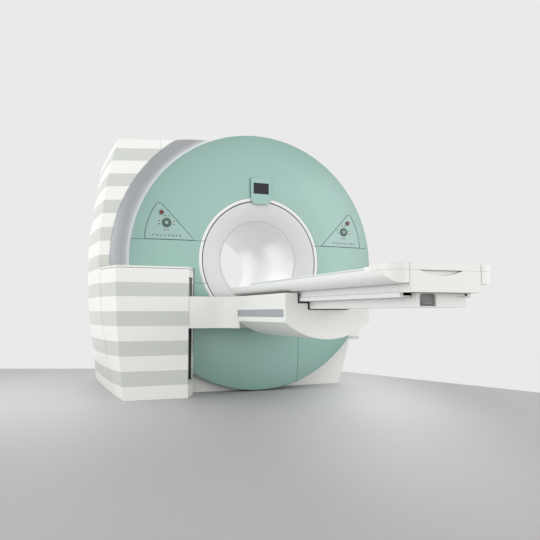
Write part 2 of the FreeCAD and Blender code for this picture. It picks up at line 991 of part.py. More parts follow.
def drive_motor():
    """Square motor in the channel, in line with the pulley at the head end."""
    y1 = belt_ends()[1]
    low = frame_top - channel_depth
    return block(27.2, 57, y1 - 16, y1 + 16, low, low + 34)


# ---------------------------------------------------------------- foot end


def foot_plan(z0, z1, rear):
    """Outline of the foot end seen from above, back to a given depth."""
    half = frame_half
    return plan(
        z0,
        z1,
        (-half, rear),
        (-half, foot_side_y),
        ((-foot_flat_half - 62, foot_end + 14), (-foot_flat_half, foot_end)),
        (foot_flat_half, foot_end),
        ((foot_flat_half + 62, foot_end + 14), (half, foot_side_y)),
        (half, rear),
    )


def end_panel():
    """Fixed panel and wings that close the frame at the foot end, with a finger scoop."""
    z0 = frame_bottom - panel_drop
    middle = foot_plan(z0, frame_top, foot_side_y)
    middle = middle.common(block(-foot_flat_half, foot_flat_half, -far, foot_side_y, 0, far))
    half = foot_flat_half - shell
    hollow = block(-half, half, foot_end + shell, foot_side_y - 6, 0, frame_top - 44)
    x = -25.0
    z = frame_top
    scoop = outline(
        lambda a, b: vec(a, foot_end - 1, b),
        (x - scoop_half, z + 1),
        ((x, z - scoop_height), (x + scoop_half, z + 1)),
    ).extrude(vec(0, scoop_depth + 1, 0))
    wing = foot_plan(frame_bottom, frame_top, foot_side_y).common(frame_section(-far, far))
    right = wing.common(block(foot_flat_half + foot_seam, far, -far, foot_side_y, 0, far))
    return middle.cut(hollow).cut(scoop), right, mirrored(right)


def socket_form(y0, y1, inset):
    """The plug recess: upright, with rounded upper corners, or that form moved in."""
    left, right = socket_left + inset, socket_right - inset
    low, top = lower_beam_bottom + 5 + inset, frame_bottom - panel_drop - 4 - inset
    corner = socket_corner - inset
    mid = corner_point(corner)
    return section(
        y0,
        y1,
        (left, low),
        (right, low),
        (right, top - corner),
        ((right - mid, top - mid), (right - corner, top)),
        (left + corner, top),
        ((left + mid, top - mid), (left, top - corner)),
    )


def beam_end_block():
    """End block of the lower beam, recessed for the coil plug."""
    half = lower_beam_half + 5
    top = frame_bottom - panel_drop
    body = block(-half, half, foot_side_y - 38, foot_side_y, lower_beam_bottom, top)
    lever = block(85, half + 1, foot_side_y - 40, foot_side_y - 34, top - 18, top - 3)
    return body.cut(socket_form(foot_side_y - 40, foot_side_y - 18, 0)).cut(lever)


def plug_socket():
    """Plug face deep in the recess, with a raised bar across it."""
    face = socket_form(foot_side_y - 24, foot_side_y - 18, 0.5)
    middle = 0.5 * (socket_left + socket_right)
    z = lower_beam_bottom + 14
    return face.fuse(block(middle - 24, middle + 24, foot_side_y - 31, foot_side_y - 23, z, z + 9))


# ---------------------------------------------------------------- tabletop


def rounded_head(z0, z1, half, foot, head, corner):
    mid = corner_point(corner)
    return plan(
        z0,
        z1,
        (-half, foot),
        (half, foot),
        (half, head - corner),
        ((half - mid, head - mid), (half - corner, head)),
        (-half + corner, head),
        ((-half + mid, head - mid), (-half, head - corner)),
    )


def tabletop():
    """Narrow fibre board, rounded at the head, and the clamp below it that grips the belt."""
    board = rounded_head(board_bottom, board_top, board_half, socket_block_foot, board_head, board_corner)
    y0 = belt_ends()[0] + 12
    clamp = block(-14, 14, y0, y0 + 40, belt_axis() + 12 + slip_fit, board_bottom)
    return board, clamp


def patient_pad():
    """Thin mattress: flat below, crowned above, with its ends rounded down."""
    low = board_top
    side = low + pad_edge
    top = low + pad_thick
    head = board_head - 10
    whole = rounded_head(low, top, pad_half, pad_foot, head, board_corner - 10)
    across = section(
        pad_foot,
        head,
        (-pad_half, low),
        (pad_half, low),
        (pad_half, side),
        ((0, top), (-pad_half, side)),
    )
    ends = outline(
        lambda y, z: vec(-far, y, z),
        (pad_foot, low),
        (head, low),
        (head, side),
        ((head - 14, top - 3), (head - 50, top)),
        (pad_foot + 50, top),
        ((pad_foot + 14, top - 3), (pad_foot, side)),
    ).extrude(vec(2 * far, 0, 0))
    return whole.common(across).common(ends)


def coil_socket_block():
    """Raised block for the coil plugs between the pad and the foot board."""
    top = board_top + pad_edge + 5
    body = block(-board_half, board_half, socket_block_foot, pad_foot - 3, board_top, top)
    slit = 0.5 * (socket_block_foot + pad_foot)
    return body.cut(block(-far, far, slit - 3, slit + 3, board_top + 4, far))


def foot_board():
    """Foot end of the tabletop in three pieces that line up with the panel below."""
    body = foot_plan(board_bottom, board_bottom + foot_board_thick, socket_block_foot)
    middle = body.common(block(-foot_flat_half, foot_flat_half, -far, far, 0, far))
    right = body.common(block(foot_flat_half + foot_seam, far, -far, far, 0, far))
    return middle, right, mirrored(right)


# ---------------------------------------------------------------- panels and display


def face_depth(x, z):
    """Depth of the ring's front surface at a point, from the same profile as the cover."""
    r = math.hypot(x, z - axis_height)
    face = ring_face()
    for (r0, y0), (r1, y1) in zip(face, face[1:]):
        if r0 <= r <= r1:
            return y0 + (y1 - y0) * (r - r0) / (r1 - r0)
    return ring_front


def layer(prism, low, high):
    """The part of a prism that lies between two heights over the ring's face."""
    upper = ring_form()
    upper.translate(vec(0, -high, 0))
    lower = ring_form()
    lower.translate(vec(0, -low, 0))
    return prism.common(upper).cut(lower)


def panel_prism(wider=0.0):
    """Rounded triangle of the right control panel, or a wider one for the groove round it."""
    low = upper_seam_z + panel_foot
    base = low - wider
    slant = 0.7 * wider
    rim = ring_radius
    return section(
        -80,
        0,
        (rim - 468 - 1.6 * wider, base),
        ((rim - 310 - slant, low + 166 + slant), (rim - 230 - slant, low + 252 + slant)),
        ((rim - 200, low + 264 + wider), (rim - 182 + wider, low + 244 + 0.4 * wider)),
        ((rim - 128 + wider, low + 126 + 0.3 * wider), (rim - 108 + 1.2 * wider, base)),
    )


def panel_groove():
    """Shallow groove in the cover that frames the right control panel."""
    return layer(panel_prism(groove_wide), -groove_deep, 0.5).cut(panel_prism())


stop_place = (ring_radius - 222.0, upper_seam_z + 202.0)
pad_place = (ring_radius - 261.0, upper_seam_z + 126.0)


def button_holes():
    """Guide holes of the four buttons through the panels and the cover."""
    half = stem_half + slip_fit
    holes = []
    for side in (-1, 1):
        for x, z in (stop_place, pad_place):
            holes.append(block(side * x - half, side * x + half, -80, 40, z - half, z + half))
    return holes


def control_panels():
    panel = layer(panel_prism(), 0, panel_lift)
    return [keep_largest(p.cut(button_holes())) for p in (panel, mirrored(panel))]


def direction_pads():
    """Raised round pads with a square window for the centre button."""
    pads = []
    x, z = pad_place
    disc = cylinder_y(pad_radius, -80, 0, x, z)
    half = centre_half + slip_fit
    pad = layer(disc, panel_lift, panel_lift + 4)
    pad = pad.cut(block(x - half, x + half, -90, 10, z - half, z + half))
    return [mirrored(pad), pad]


def panel_keys():
    """Row of eight keys and four arrow keys round each pad."""
    prisms = []
    for n in range(8):
        x = ring_radius - 364 + 28.7 * n
        prisms.append(block(x - 8, x + 8, -80, 0, upper_seam_z + 26, upper_seam_z + 38))
    x, z = pad_place
    for dx, dz in ((-54, 0), (54, 0), (0, 52), (0, -52)):
        prisms.append(block(x + dx - 9, x + dx + 9, -80, 0, z + dz - 8, z + dz + 8))
    keys = layer(Part.makeCompound(prisms), panel_lift, panel_lift + 1.6).Solids
    return keys + [mirrored(k) for k in keys]


def stop_button(side):
    """Mushroom button on a stem through the panel."""
    x = side * stop_place[0]
    z = stop_place[1]
    y = face_depth(*stop_place) - panel_lift
    head = cylinder_y(stop_radius, y - button_travel - 10, y - button_travel - 2, x, z)
    return head.fuse(button_stem(x, y - button_travel - 2, z))


def button_stem(x, y, z):
    """Square stem of a button, which runs in a square hole through panel and cover."""
    half = stem_half
    return block(x - half, x + half, y, y + button_travel + 16, z - half, z + half)


def centre_button(side):
    """Square button in the middle of the direction pad."""
    x = side * pad_place[0]
    z = pad_place[1]
    y = face_depth(*pad_place) - panel_lift
    half = centre_half
    under = y - button_travel - 1.4
    head = block(x - half, x + half, y - 7, under, z - half, z + half)
    return head.fuse(button_stem(x, under - 0.1, z))


def display_shield():
    """Green shield over the top of the trim ring that carries the screen."""
    half = 84.0
    z0 = axis_height + 442
    z1 = axis_height + 650
    back = trim_front - slip_fit
    front = back - 12
    shield = section(
        front,
        back,
        (-half, z1 - 12),
        ((-half + 4, z1 - 4), (-half + 12, z1)),
        (half - 12, z1),
        ((half - 4, z1 - 4), (half, z1 - 12)),
        (half, z0 + 40),
        ((half - 14, z0 + 12), (half - 42, z0)),
        (-half + 42, z0),
        ((-half + 14, z0 + 12), (-half, z0 + 40)),
    )
    return shield.cut(block(-64, 64, front - 1, front + 4, axis_height + 523, axis_height + 609))


def display_screen():
    front = trim_front - slip_fit - 12
    return block(-63.5, 63.5, front + 1, front + 4, axis_height + 523.5, axis_height + 608.5)


# ---------------------------------------------------------------- all pieces


def write_magnet():
    save("vacuum_vessel", vacuum_vessel())
    save("helium_vessel", helium_vessel())
    save("main_coils", *main_coils())
    save("cold_mass_supports", *suspension())
    save("cold_head", cold_head())
    save("magnet_base", magnet_base())
    y0 = vessel_front + gradient_inset
    y1 = vessel_rear - gradient_inset
    save("gradient_coil", tube(gradient_inner, gradient_outer, y0, y1))
    middle = (vessel_front + vessel_rear) / 2
    outer = body_coil_inner + body_coil_wall
    save("body_coil", tube(body_coil_inner, outer, middle - body_coil_half, middle + body_coil_half))
    save("tunnel_liner", tunnel_liner())
    save("tunnel_rails", *tunnel_rails())
    save("tunnel_floor", tunnel_floor())
    save("front_funnel", front_funnel())
    save("rear_funnel", rear_funnel())


def write_covers():
    ring = ring_form()
    trim = trim_form()
    names = ("upper", "left", "lower", "right")
    for name in names:
        cover = split(ring, name)
        if name == "upper":
            groove = panel_groove()
            cover = cover.cut(button_holes()).cut([groove, mirrored(groove)])
        save(name + "_front_cover", cover)
    save("bore_trim", *[split(trim, name) for name in names])
    save("cover_bulkhead", cover_bulkhead())
    save("silver_ring", silver_ring())
    left, top, right, skirt, rear = body_covers()
    save("left_side_cover", left)
    save("top_cover", top)
    save("right_side_cover", right)
    save("front_skirt", skirt)
    save("rear_cover", rear)
    save("display_shield", display_shield())
    save("display_screen", display_screen())
    save("control_panels", *control_panels())
    save("direction_pads", *direction_pads())
    save("panel_keys", *panel_keys())
    for side, name in ((-1, "left"), (1, "right")):
        save(name + "_stop_button", stop_button(side))
        save(name + "_centre_button", centre_button(side))


def write_tower():
    save("tower_shell", tower_shell())
    save("tower_cap", tower_cap())
    save("lift_column", lift_column())
    save("lift_rails", *lift_rails())
    save("lift_screw", lift_screw())
    save("lift_motor", lift_motor())


def write_table():
    save("lift_carriage", lift_carriage())
    save("lift_nut", lift_nut())
    save("arm_beam", arm_beam())
    save("arm_cover", arm_cover())
    save("inlay_strip", inlay_strip())
    save("right_side_panel", right_side_panel())
    save("carrier_belly", carrier_belly())
    save("carrier_end_plate", end_plate())
    upper, lower = table_beams()
    save("upper_table_beam", upper)
    save("lower_table_beam", lower)
    save("table_frame", table_frame())
    save("end_panel", *end_panel())
    save("beam_end_block", beam_end_block())
    save("plug_socket", plug_socket())
    save("drive_belt", drive_belt())
    save("belt_drive", drive_motor(), *belt_pulleys())
    save("tabletop", *tabletop())
    save("patient_pad", patient_pad())
    save("coil_socket_block", coil_socket_block())
    save("foot_board", *foot_board())


os.makedirs("parts", exist_ok=True)
write_magnet()
write_covers()
write_tower()
write_table()
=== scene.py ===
# %% [markdown]
# # A whole-body magnet scanner, dressed in Blender
#
# The CAD model gives every cover, beam and button its true size and place. This lesson adds what a
# camera sees: lacquer, moulded plastic, brushed metal, fabric, soft light and a floor.
# Everything is in metres. +Z is up, +X is to the right seen from the patient's end, +Y runs along
# the tunnel towards the rear. The origin is on the floor below the middle of the magnet.

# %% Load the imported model
import bpy
import bmesh
import math
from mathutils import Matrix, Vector
from mathutils.bvhtree import BVHTree


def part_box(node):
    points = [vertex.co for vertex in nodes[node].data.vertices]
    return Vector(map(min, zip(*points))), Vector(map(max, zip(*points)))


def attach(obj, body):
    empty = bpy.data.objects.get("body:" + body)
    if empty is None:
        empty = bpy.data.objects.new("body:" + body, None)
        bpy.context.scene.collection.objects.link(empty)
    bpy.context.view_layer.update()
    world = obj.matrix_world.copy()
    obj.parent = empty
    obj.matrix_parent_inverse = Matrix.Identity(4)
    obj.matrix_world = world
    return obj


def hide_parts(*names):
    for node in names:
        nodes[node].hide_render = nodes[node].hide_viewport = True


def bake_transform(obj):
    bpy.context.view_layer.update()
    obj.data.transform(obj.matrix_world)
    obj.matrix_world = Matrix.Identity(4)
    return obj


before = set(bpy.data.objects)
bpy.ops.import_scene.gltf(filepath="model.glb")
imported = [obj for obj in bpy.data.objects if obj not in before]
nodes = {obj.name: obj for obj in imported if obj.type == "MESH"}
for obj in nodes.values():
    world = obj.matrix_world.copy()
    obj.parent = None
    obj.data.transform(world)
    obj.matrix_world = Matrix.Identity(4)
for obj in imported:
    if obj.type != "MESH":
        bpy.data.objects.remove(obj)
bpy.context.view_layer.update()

# %% [markdown]
# ## Colours
#
# Paint colours are written as a swatch would give them, from 0 to 255. Blender works with light
# instead, in which half the brightness is a much smaller number, so one helper converts them. Its
# numbers are those of the curve that screens use.


# %% Colours as swatches
def swatch(red, green, blue):
    """A linear colour from a swatch's 0 to 255 numbers."""
    channels = []
    for value in (red, green, blue):
        part = value / 255
        channels.append(part / 12.92 if part <= 0.04045 else ((part + 0.055) / 1.055) ** 2.4)
    return (*channels, 1.0)


green_lacquer = swatch(144, 181, 172)
body_white = swatch(231, 232, 228)
band_grey = swatch(199, 202, 196)
print("green lacquer as light:", [round(v, 3) for v in green_lacquer[:3]])

# %% [markdown]
# ## Shader nodes
#
# A material is a small network of nodes, and most of the work on it is the same few steps: make a
# node, set it up, fill its inputs. One helper does all three in a single call. An input takes a
# plain value or the output of another node, and the helper tells the two apart.


# %% Placing a node
def feed(socket, value):
    """Links an input to another node's output, or sets its plain value."""
    if isinstance(value, bpy.types.NodeSocket):
        socket.id_data.links.new(value, socket)
    else:
        socket.default_value = value


def place(tree, kind, inputs=(), **settings):
    """A node with its settings, then its inputs, as pairs of a name or a number and a value."""
    node = tree.nodes.new("ShaderNode" + kind)
    for key, value in settings.items():
        setattr(node, key, value)
    for key, value in dict(inputs).items():
        feed(node.inputs[key], value)
    return node


print("node helpers:", feed.__name__, place.__name__)

# %% [markdown]
# A few kinds of node come up all the time: sums on numbers, sums on places and directions, ranges,
# mixes, noise and bumps. Each gets a short helper that hands back the output, so a sum can be
# written inside another one, as on paper.


# %% Nodes that come up often
def maths(tree, operation, *values, clamp=False):
    """The output of a sum on numbers."""
    node = place(tree, "Math", enumerate(values), operation=operation, use_clamp=clamp)
    return node.outputs[0]


def vector_maths(tree, operation, *values, scale=None):
    """The output of a sum on places or directions."""
    inputs = dict(enumerate(values))
    if scale is not None:
        inputs["Scale"] = scale
    node = place(tree, "VectorMath", inputs, operation=operation)
    return node.outputs["Value" if operation in ("DOT_PRODUCT", "LENGTH") else "Vector"]


def remap(tree, value, start, end, low=0.0, high=1.0, **settings):
    """The output of a range, where start becomes low and end becomes high."""
    inputs = {"Value": value, "From Min": start, "From Max": end, "To Min": low, "To Max": high}
    return place(tree, "MapRange", inputs, **settings).outputs["Result"]


def mixed(tree, kind, amount, first, second, blend="MIX"):
    """The output of a mix of two colours (RGBA) or of two directions (VECTOR)."""
    mix = place(tree, "Mix", {"Factor": amount}, data_type=kind, blend_type=blend)
    pair = [socket for socket in mix.inputs if socket.type == kind and socket.enabled]
    for socket, value in zip(pair, (first, second)):
        feed(socket, value)
    return next(socket for socket in mix.outputs if socket.type == kind)


def noise(tree, where, scale, detail):
    """The output of a cloudy noise from 0 to 1, with its middle at one half."""
    inputs = {"Vector": where, "Scale": scale, "Detail": detail}
    return place(tree, "TexNoise", inputs).outputs["Fac"]


def bump(tree, height, strength, distance, normal):
    """The output of a direction that a height tilts."""
    inputs = {"Height": height, "Strength": strength, "Distance": distance, "Normal": normal}
    return place(tree, "Bump", inputs).outputs["Normal"]


print("helpers:", [helper.__name__ for helper in (maths, vector_maths, remap, mixed, noise, bump)])

# %% [markdown]
# ## Shader groups
#
# An effect that many materials share goes into a node group: a small network with named inputs and
# outputs, built once and then used like a single node with its own values each time.


# %% A helper for node groups
def new_group(name, inputs, outputs):
    """An empty shader group with named sockets, what it is given, and the results it hands on."""
    tree = bpy.data.node_groups.new(name, "ShaderNodeTree")
    for label, kind, default in inputs:
        socket = tree.interface.new_socket(label, in_out="INPUT", socket_type="NodeSocket" + kind)
        if default is not None:
            socket.default_value = default
    for label, kind in outputs:
        tree.interface.new_socket(label, in_out="OUTPUT", socket_type="NodeSocket" + kind)
    given = tree.nodes.new("NodeGroupInput").outputs
    results = tree.nodes.new("NodeGroupOutput").inputs
    return tree, given, results


print("groups so far:", len(bpy.data.node_groups))

# %% [markdown]
# Real covers are never perfectly even: moulded plastic has a very fine texture, lacquer a slight
# orange peel, and hands leave some places glossier than others. A painted picture could show that,
# but it would need unwrapping and would blur close up. Three noises of different size do the same
# for every material, and each material sets its own scale and strength.

# %% Unevenness of a surface
drift_scale, drift_detail = 2.3, 3.0
patch_scale, patch_detail = 11.0, 5.0
grain_detail = 2.0
grain_relief = 0.001
noise_middle = 0.5


def make_unevenness():
    """Slow colour drift, patches of other gloss, and a fine bump."""
    tree, given, results = new_group(
        "surface_unevenness",
        (
            ("Vector", "Vector", None),
            ("Colour", "Color", (0.8, 0.8, 0.8, 1)),
            ("Drift", "Float", 0.03),
            ("Roughness", "Float", 0.4),
            ("Gloss spread", "Float", 0.06),
            ("Grain scale", "Float", 900.0),
            ("Grain height", "Float", 0.1),
            ("Normal", "Vector", None),
        ),
        (("Colour", "Color"), ("Roughness", "Float"), ("Normal", "Vector")),
    )
    where = given["Vector"]
    slow = noise(tree, where, drift_scale, drift_detail)
    patches = noise(tree, where, patch_scale, patch_detail)
    grain = noise(tree, where, given["Grain scale"], grain_detail)

    swing = maths(tree, "SUBTRACT", slow, noise_middle)
    brightness = maths(tree, "MULTIPLY_ADD", swing, given["Drift"], 1.0)
    feed(results["Colour"], vector_maths(tree, "SCALE", given["Colour"], scale=brightness))

    spread = maths(tree, "SUBTRACT", patches, noise_middle)
    gloss = (spread, given["Gloss spread"], given["Roughness"])
    feed(results["Roughness"], maths(tree, "MULTIPLY_ADD", *gloss, clamp=True))

    relief = bump(tree, grain, given["Grain height"], grain_relief, given["Normal"])
    feed(results["Normal"], relief)
    return tree


unevenness = make_unevenness()
print("group:", unevenness.name, "with", len(unevenness.nodes), "nodes")

# %% [markdown]
# Brushed and extruded metal carries fine lines that all run one way. The same noise, squeezed
# along the direction of the lines, gives them. The group is told the stretch for each axis.

# %% Brushed lines
line_detail = 4.0
line_relief = 0.0005


def make_brushing():
    """Fine parallel lines: a mask for colour and roughness, and a bump."""
    tree, given, results = new_group(
        "brushed_lines",
        (
            ("Vector", "Vector", None),
            ("Stretch", "Vector", (1.0, 0.02, 1.0)),
            ("Scale", "Float", 700.0),
            ("Height", "Float", 0.2),
            ("Normal", "Vector", None),
        ),
        (("Lines", "Float"), ("Normal", "Vector")),
    )
    stretched = vector_maths(tree, "MULTIPLY", given["Vector"], given["Stretch"])
    lines = noise(tree, stretched, given["Scale"], line_detail)
    feed(results["Lines"], lines)
    feed(results["Normal"], bump(tree, lines, given["Height"], line_relief, given["Normal"]))
    return tree


brushing = make_brushing()
print("group:", brushing.name)

# %% [markdown]
# The ring, the funnel lip and the silver cover are turned forms: their section is an arc. The CAD
# model gives that arc as a few straight runs, which catch the light as flat bands. The CAD meshes
# are left as they are, so this group works out the arc's own
# direction at each point, from the centre of the arc, and uses it where the surface nearly faces
# that way already. Side walls and grooves keep their own direction.

# %% Smooth direction of a turned arc
axis_height = 1.005
nearly_facing = 0.95


def arc_centre(first, second, third):
    """Centre of the circle through three points of a section, each a radius and a depth."""
    (x1, y1), (x2, y2), (x3, y3) = first, second, third
    a, b, c, d = x1 - x2, y1 - y2, x1 - x3, y1 - y3
    e = (x1 * x1 - x2 * x2 + y1 * y1 - y2 * y2) / 2
    f = (x1 * x1 - x3 * x3 + y1 * y1 - y3 * y3) / 2
    det = a * d - b * c
    return (e * d - b * f) / det, (a * f - e * c) / det


def from_axis(tree, where):
    """A place seen from the bore's axis, and the same without its depth."""
    lowered = vector_maths(tree, "SUBTRACT", where, (0.0, 0.0, axis_height))
    return lowered, vector_maths(tree, "MULTIPLY", lowered, (1.0, 0.0, 1.0))


def make_turned_normal():
    """Direction of an arc turned about the bore's axis, or the surface's own direction."""
    tree, given, results = new_group(
        "turned_normal",
        (
            ("Vector", "Vector", None),
            ("Normal", "Vector", None),
            ("Centre radius", "Float", 1.0),
            ("Centre depth", "Float", 1.0),
        ),
        (("Normal", "Vector"),),
    )
    lowered, flat = from_axis(tree, given["Vector"])
    outward = vector_maths(tree, "NORMALIZE", flat)
    across = vector_maths(tree, "SCALE", outward, scale=given["Centre radius"])
    along = place(tree, "CombineXYZ", {"Y": given["Centre depth"]}).outputs[0]
    centre = vector_maths(tree, "ADD", across, along)
    spoke = vector_maths(tree, "SUBTRACT", lowered, centre)
    direction = vector_maths(tree, "NORMALIZE", spoke)
    agreement = vector_maths(tree, "DOT_PRODUCT", direction, given["Normal"])
    facing = vector_maths(tree, "SCALE", direction, scale=maths(tree, "SIGN", agreement))
    close = maths(tree, "GREATER_THAN", maths(tree, "ABSOLUTE", agreement), nearly_facing)
    feed(results["Normal"], mixed(tree, "VECTOR", close, given["Normal"], facing))
    return tree


turned_normal = make_turned_normal()
dish_centre = arc_centre((0.495, -0.738), (0.7475, -0.732), (0.984, -0.704))
silver_centre = arc_centre((1.0006, -0.68), (1.0763, -0.658), (1.128, -0.6))
lip_centre = arc_centre((0.462, -0.734), (0.404, -0.724), (0.318, -0.692))
for name, centre in (("dish", dish_centre), ("silver", silver_centre), ("lip", lip_centre)):
    print("arc centre of the", name, tuple(round(v, 3) for v in centre))

# %% [markdown]
# Handling rubs the paint thin along edges. Where the rounded direction of the surface leaves its
# flat direction there is an edge, and some noise breaks the rubbed line up, because real wear is
# never the same all along.

# %% Wear along edges
edge_starts, edge_is_full = 0.99, 0.85
rub_scale, rub_detail = 45.0, 3.0
rub_low, rub_high = 0.4, 0.62
rub_least = 0.2


def make_edge_wear():
    """How worn a place is, from the flat and the rounded direction of the surface."""
    tree, given, results = new_group(
        "edge_wear",
        (
            ("Vector", "Vector", None),
            ("Rounded", "Vector", None),
            ("Flat", "Vector", None),
            ("Strength", "Float", 0.3),
        ),
        (("Amount", "Float"),),
    )
    likeness = vector_maths(tree, "DOT_PRODUCT", given["Rounded"], given["Flat"])
    edge = remap(tree, likeness, edge_starts, edge_is_full)
    patches = noise(tree, given["Vector"], rub_scale, rub_detail)
    broken = remap(tree, patches, rub_low, rub_high, low=rub_least)
    total = maths(tree, "MULTIPLY", edge, broken)
    feed(results["Amount"], maths(tree, "MULTIPLY", total, given["Strength"]))
    return tree


edge_wear = make_edge_wear()
print("group:", edge_wear.name)

# %% [markdown]
# ## Materials
#
# Each material starts from the same three parts: a Principled BSDF shader, the place on the
# object, and the unevenness group. What makes it lacquer, plastic or fabric are the numbers. The
# Bevel node makes sharp CAD edges look a little rounded without touching the mesh.

# %% The common start of a material
edge_radius = 0.0025
edge_samples = 4
worn_tone = swatch(208, 209, 206)


def start_material(name):
    """A material with its tree, its shader and its object coordinates."""
    material = bpy.data.materials.new(name)
    material.use_nodes = True
    tree = material.node_tree
    where = place(tree, "TexCoord").outputs["Object"]
    return material, tree, tree.nodes["Principled BSDF"], where


def surface_normal(tree, where, arc):
    """The surface's direction with its edges rounded off, or that of an arc turned round."""
    if arc is None:
        return place(tree, "Bevel", {"Radius": edge_radius}, samples=edge_samples).outputs["Normal"]
    inputs = {
        "Vector": where,
        "Normal": place(tree, "NewGeometry").outputs["Normal"],
        "Centre radius": arc[0],
        "Centre depth": arc[1],
    }
    return place(tree, "Group", inputs, node_tree=turned_normal).outputs["Normal"]


def lay_over(tree, amount, colour, blend="MIX"):
    """Lays a colour over the one that already feeds the shader."""
    base = tree.nodes["Principled BSDF"].inputs["Base Color"]
    feed(base, mixed(tree, "RGBA", amount, base.links[0].from_socket, colour, blend))


print("edges look rounded by", edge_radius * 1000, "mm")


# %% Filling a material in
def uneven(tree, shader, where, colour, looks, arc=None):
    """Feeds the shader from the unevenness group. Colour is a tuple or an output."""
    direction = surface_normal(tree, where, arc)
    inputs = {"Vector": where, "Normal": direction, "Colour": colour, **looks}
    group = place(tree, "Group", inputs, node_tree=unevenness)
    feed(shader.inputs["Base Color"], group.outputs["Colour"])
    feed(shader.inputs["Roughness"], group.outputs["Roughness"])
    feed(shader.inputs["Normal"], group.outputs["Normal"])
    if arc is None:
        flat = place(tree, "NewGeometry").outputs["Normal"]
        inputs = {"Vector": where, "Rounded": direction, "Flat": flat}
        worn = place(tree, "Group", inputs, node_tree=edge_wear)
        lay_over(tree, worn.outputs["Amount"], worn_tone)
    return group


def set_shader(shader, values):
    """Plain numbers, set on the shader's own sockets."""
    for label, value in values.items():
        shader.inputs[label].default_value = value


def moulded(name, colour, roughness, grain=0.12, scale=1400.0, drift=0.03, coat=0.0, arc=None):
    """Painted or moulded plastic."""
    material, tree, shader, where = start_material(name)
    looks = {"Drift": drift, "Roughness": roughness, "Grain scale": scale, "Grain height": grain}
    uneven(tree, shader, where, colour, looks, arc)
    set_shader(shader, {"Coat Weight": coat, "Coat Roughness": 0.12})
    return material


print("edges are worn towards:", [round(v, 3) for v in worn_tone[:3]])

# %% [markdown]
# Shade falls where two covers meet and in narrow grooves. Ambient occlusion over a few
# millimetres finds these places, and the paint is made darker there: painted shade. The gaps in
# the CAD model alone would hardly show, because a gap of under a millimetre is thinner than a
# pixel.

# %% Painted shade in seams and grooves
open_enough, closed_in = 0.95, 0.45
seam_samples = 8


def shade_seams(material, dark, reach=0.005, strength=0.7):
    """Lays painted shade, a dark tone, over a finished material wherever a groove or a seam closes
    in.
    """
    tree = material.node_tree
    near = place(tree, "AmbientOcclusion", {"Distance": reach}, samples=seam_samples)
    amount = remap(tree, near.outputs["AO"], open_enough, closed_in, high=strength)
    lay_over(tree, amount, dark)
    return material


# The dark tones of the painted shade in seams and grooves, for the green lacquer and the white
# covers.
seam_shade_green = swatch(62, 104, 96)
seam_shade_grey = swatch(120, 120, 118)
print("seams: green", [round(v, 3) for v in seam_shade_green[:3]])

# %% [markdown]
# The big ring is a shallow dish, and the silver cover curves away behind it, so both grow darker
# away from the bore. In soft light from all round most of that shade is lost. A colour ramp over
# the distance from the bore's axis brings it back, and it stays with the object from every side.

# %% Shading across a turned form
ring_span = (0.47, 0.99)
ring_shares = ((0.0, 0.96), (0.35, 1.0), (0.62, 0.98), (0.85, 0.9), (1.0, 0.82))
silver_span = (1.0, 1.13)
silver_shares = ((0.0, 1.0), (0.08, 0.74), (0.22, 0.5), (0.42, 0.4), (0.8, 0.39), (1.0, 0.41))


def shade_across(material, span, shares):
    """Darkens a material by its distance from the bore's axis, in steps of place and share."""
    tree = material.node_tree
    flat = from_axis(tree, place(tree, "NewGeometry").outputs["Position"])[1]
    part = remap(tree, vector_maths(tree, "LENGTH", flat), *span)
    ramp = place(tree, "ValToRGB", {"Fac": part})
    points = ramp.color_ramp.elements
    while len(points) < len(shares):
        points.new(0.5)
    for point, (position, share) in zip(points, shares):
        point.position = position
        point.color = (share, share, share, 1.0)
    lay_over(tree, 1.0, ramp.outputs["Color"], "MULTIPLY")


print("darkest share of the ring:", min(share for _, share in ring_shares))

# %% [markdown]
# The ring is lacquered in a pale grey green with a clear coat. Its control panels are a touch
# lighter and lie in the same dish, so they share its arc. The display shield stands on its own and
# is a plain rounded form.

# %% Green lacquer
lacquer_looks = {"roughness": 0.3, "grain": 0.05, "scale": 350.0, "drift": 0.05, "coat": 0.4}
lacquer = moulded("green_lacquer", green_lacquer, arc=dish_centre, **lacquer_looks)
panel_green = swatch(150, 183, 176)
panel_lacquer = moulded("panel_lacquer", panel_green, arc=dish_centre, **lacquer_looks)
shield_lacquer = moulded("shield_lacquer", green_lacquer, **lacquer_looks)
for paint in (lacquer, panel_lacquer, shield_lacquer):
    shade_seams(paint, seam_shade_green, reach=0.009, strength=0.9)
for paint in (lacquer, panel_lacquer):
    shade_across(paint, ring_span, ring_shares)
print("lacquers:", lacquer.name, panel_lacquer.name, shield_lacquer.name)

# %% [markdown]
# Everything else that a hand can reach is moulded plastic. It differs in colour and gloss only: the
# covers are smooth, the tabletop is a slick laminate, and the keys and pads are a little rough.

# %% Moulded plastics
white_plastic = moulded("white_plastic", body_white, 0.38, grain=0.1)
shade_seams(white_plastic, seam_shade_grey)
tunnel_plastic = moulded("tunnel_plastic", swatch(231, 232, 230), 0.36, grain=0.06)
lip_plastic = moulded("lip_plastic", swatch(210, 211, 209), 0.4, grain=0.06, arc=lip_centre)
laminate_looks = {"grain": 0.06, "scale": 2200.0, "coat": 0.2}
board_laminate = moulded("board_laminate", swatch(228, 229, 228), 0.3, **laminate_looks)
dark_plastic = moulded("dark_plastic", swatch(46, 50, 54), 0.45, grain=0.2)
key_plastic = moulded("key_plastic", swatch(224, 232, 228), 0.45, grain=0.1)
pad_plastic = moulded("pad_plastic", swatch(146, 172, 160), 0.45, grain=0.1)
round_pad_plastic = moulded("round_pad_plastic", swatch(66, 90, 82), 0.45, grain=0.15)
socket_plastic = moulded("socket_plastic", swatch(132, 134, 134), 0.5, grain=0.15)
rail_plastic = moulded("rail_plastic", swatch(150, 154, 156), 0.45)
red_plastic = moulded("red_plastic", swatch(112, 34, 38), 0.4, grain=0.08, coat=0.1)
print("materials so far:", len(bpy.data.materials))

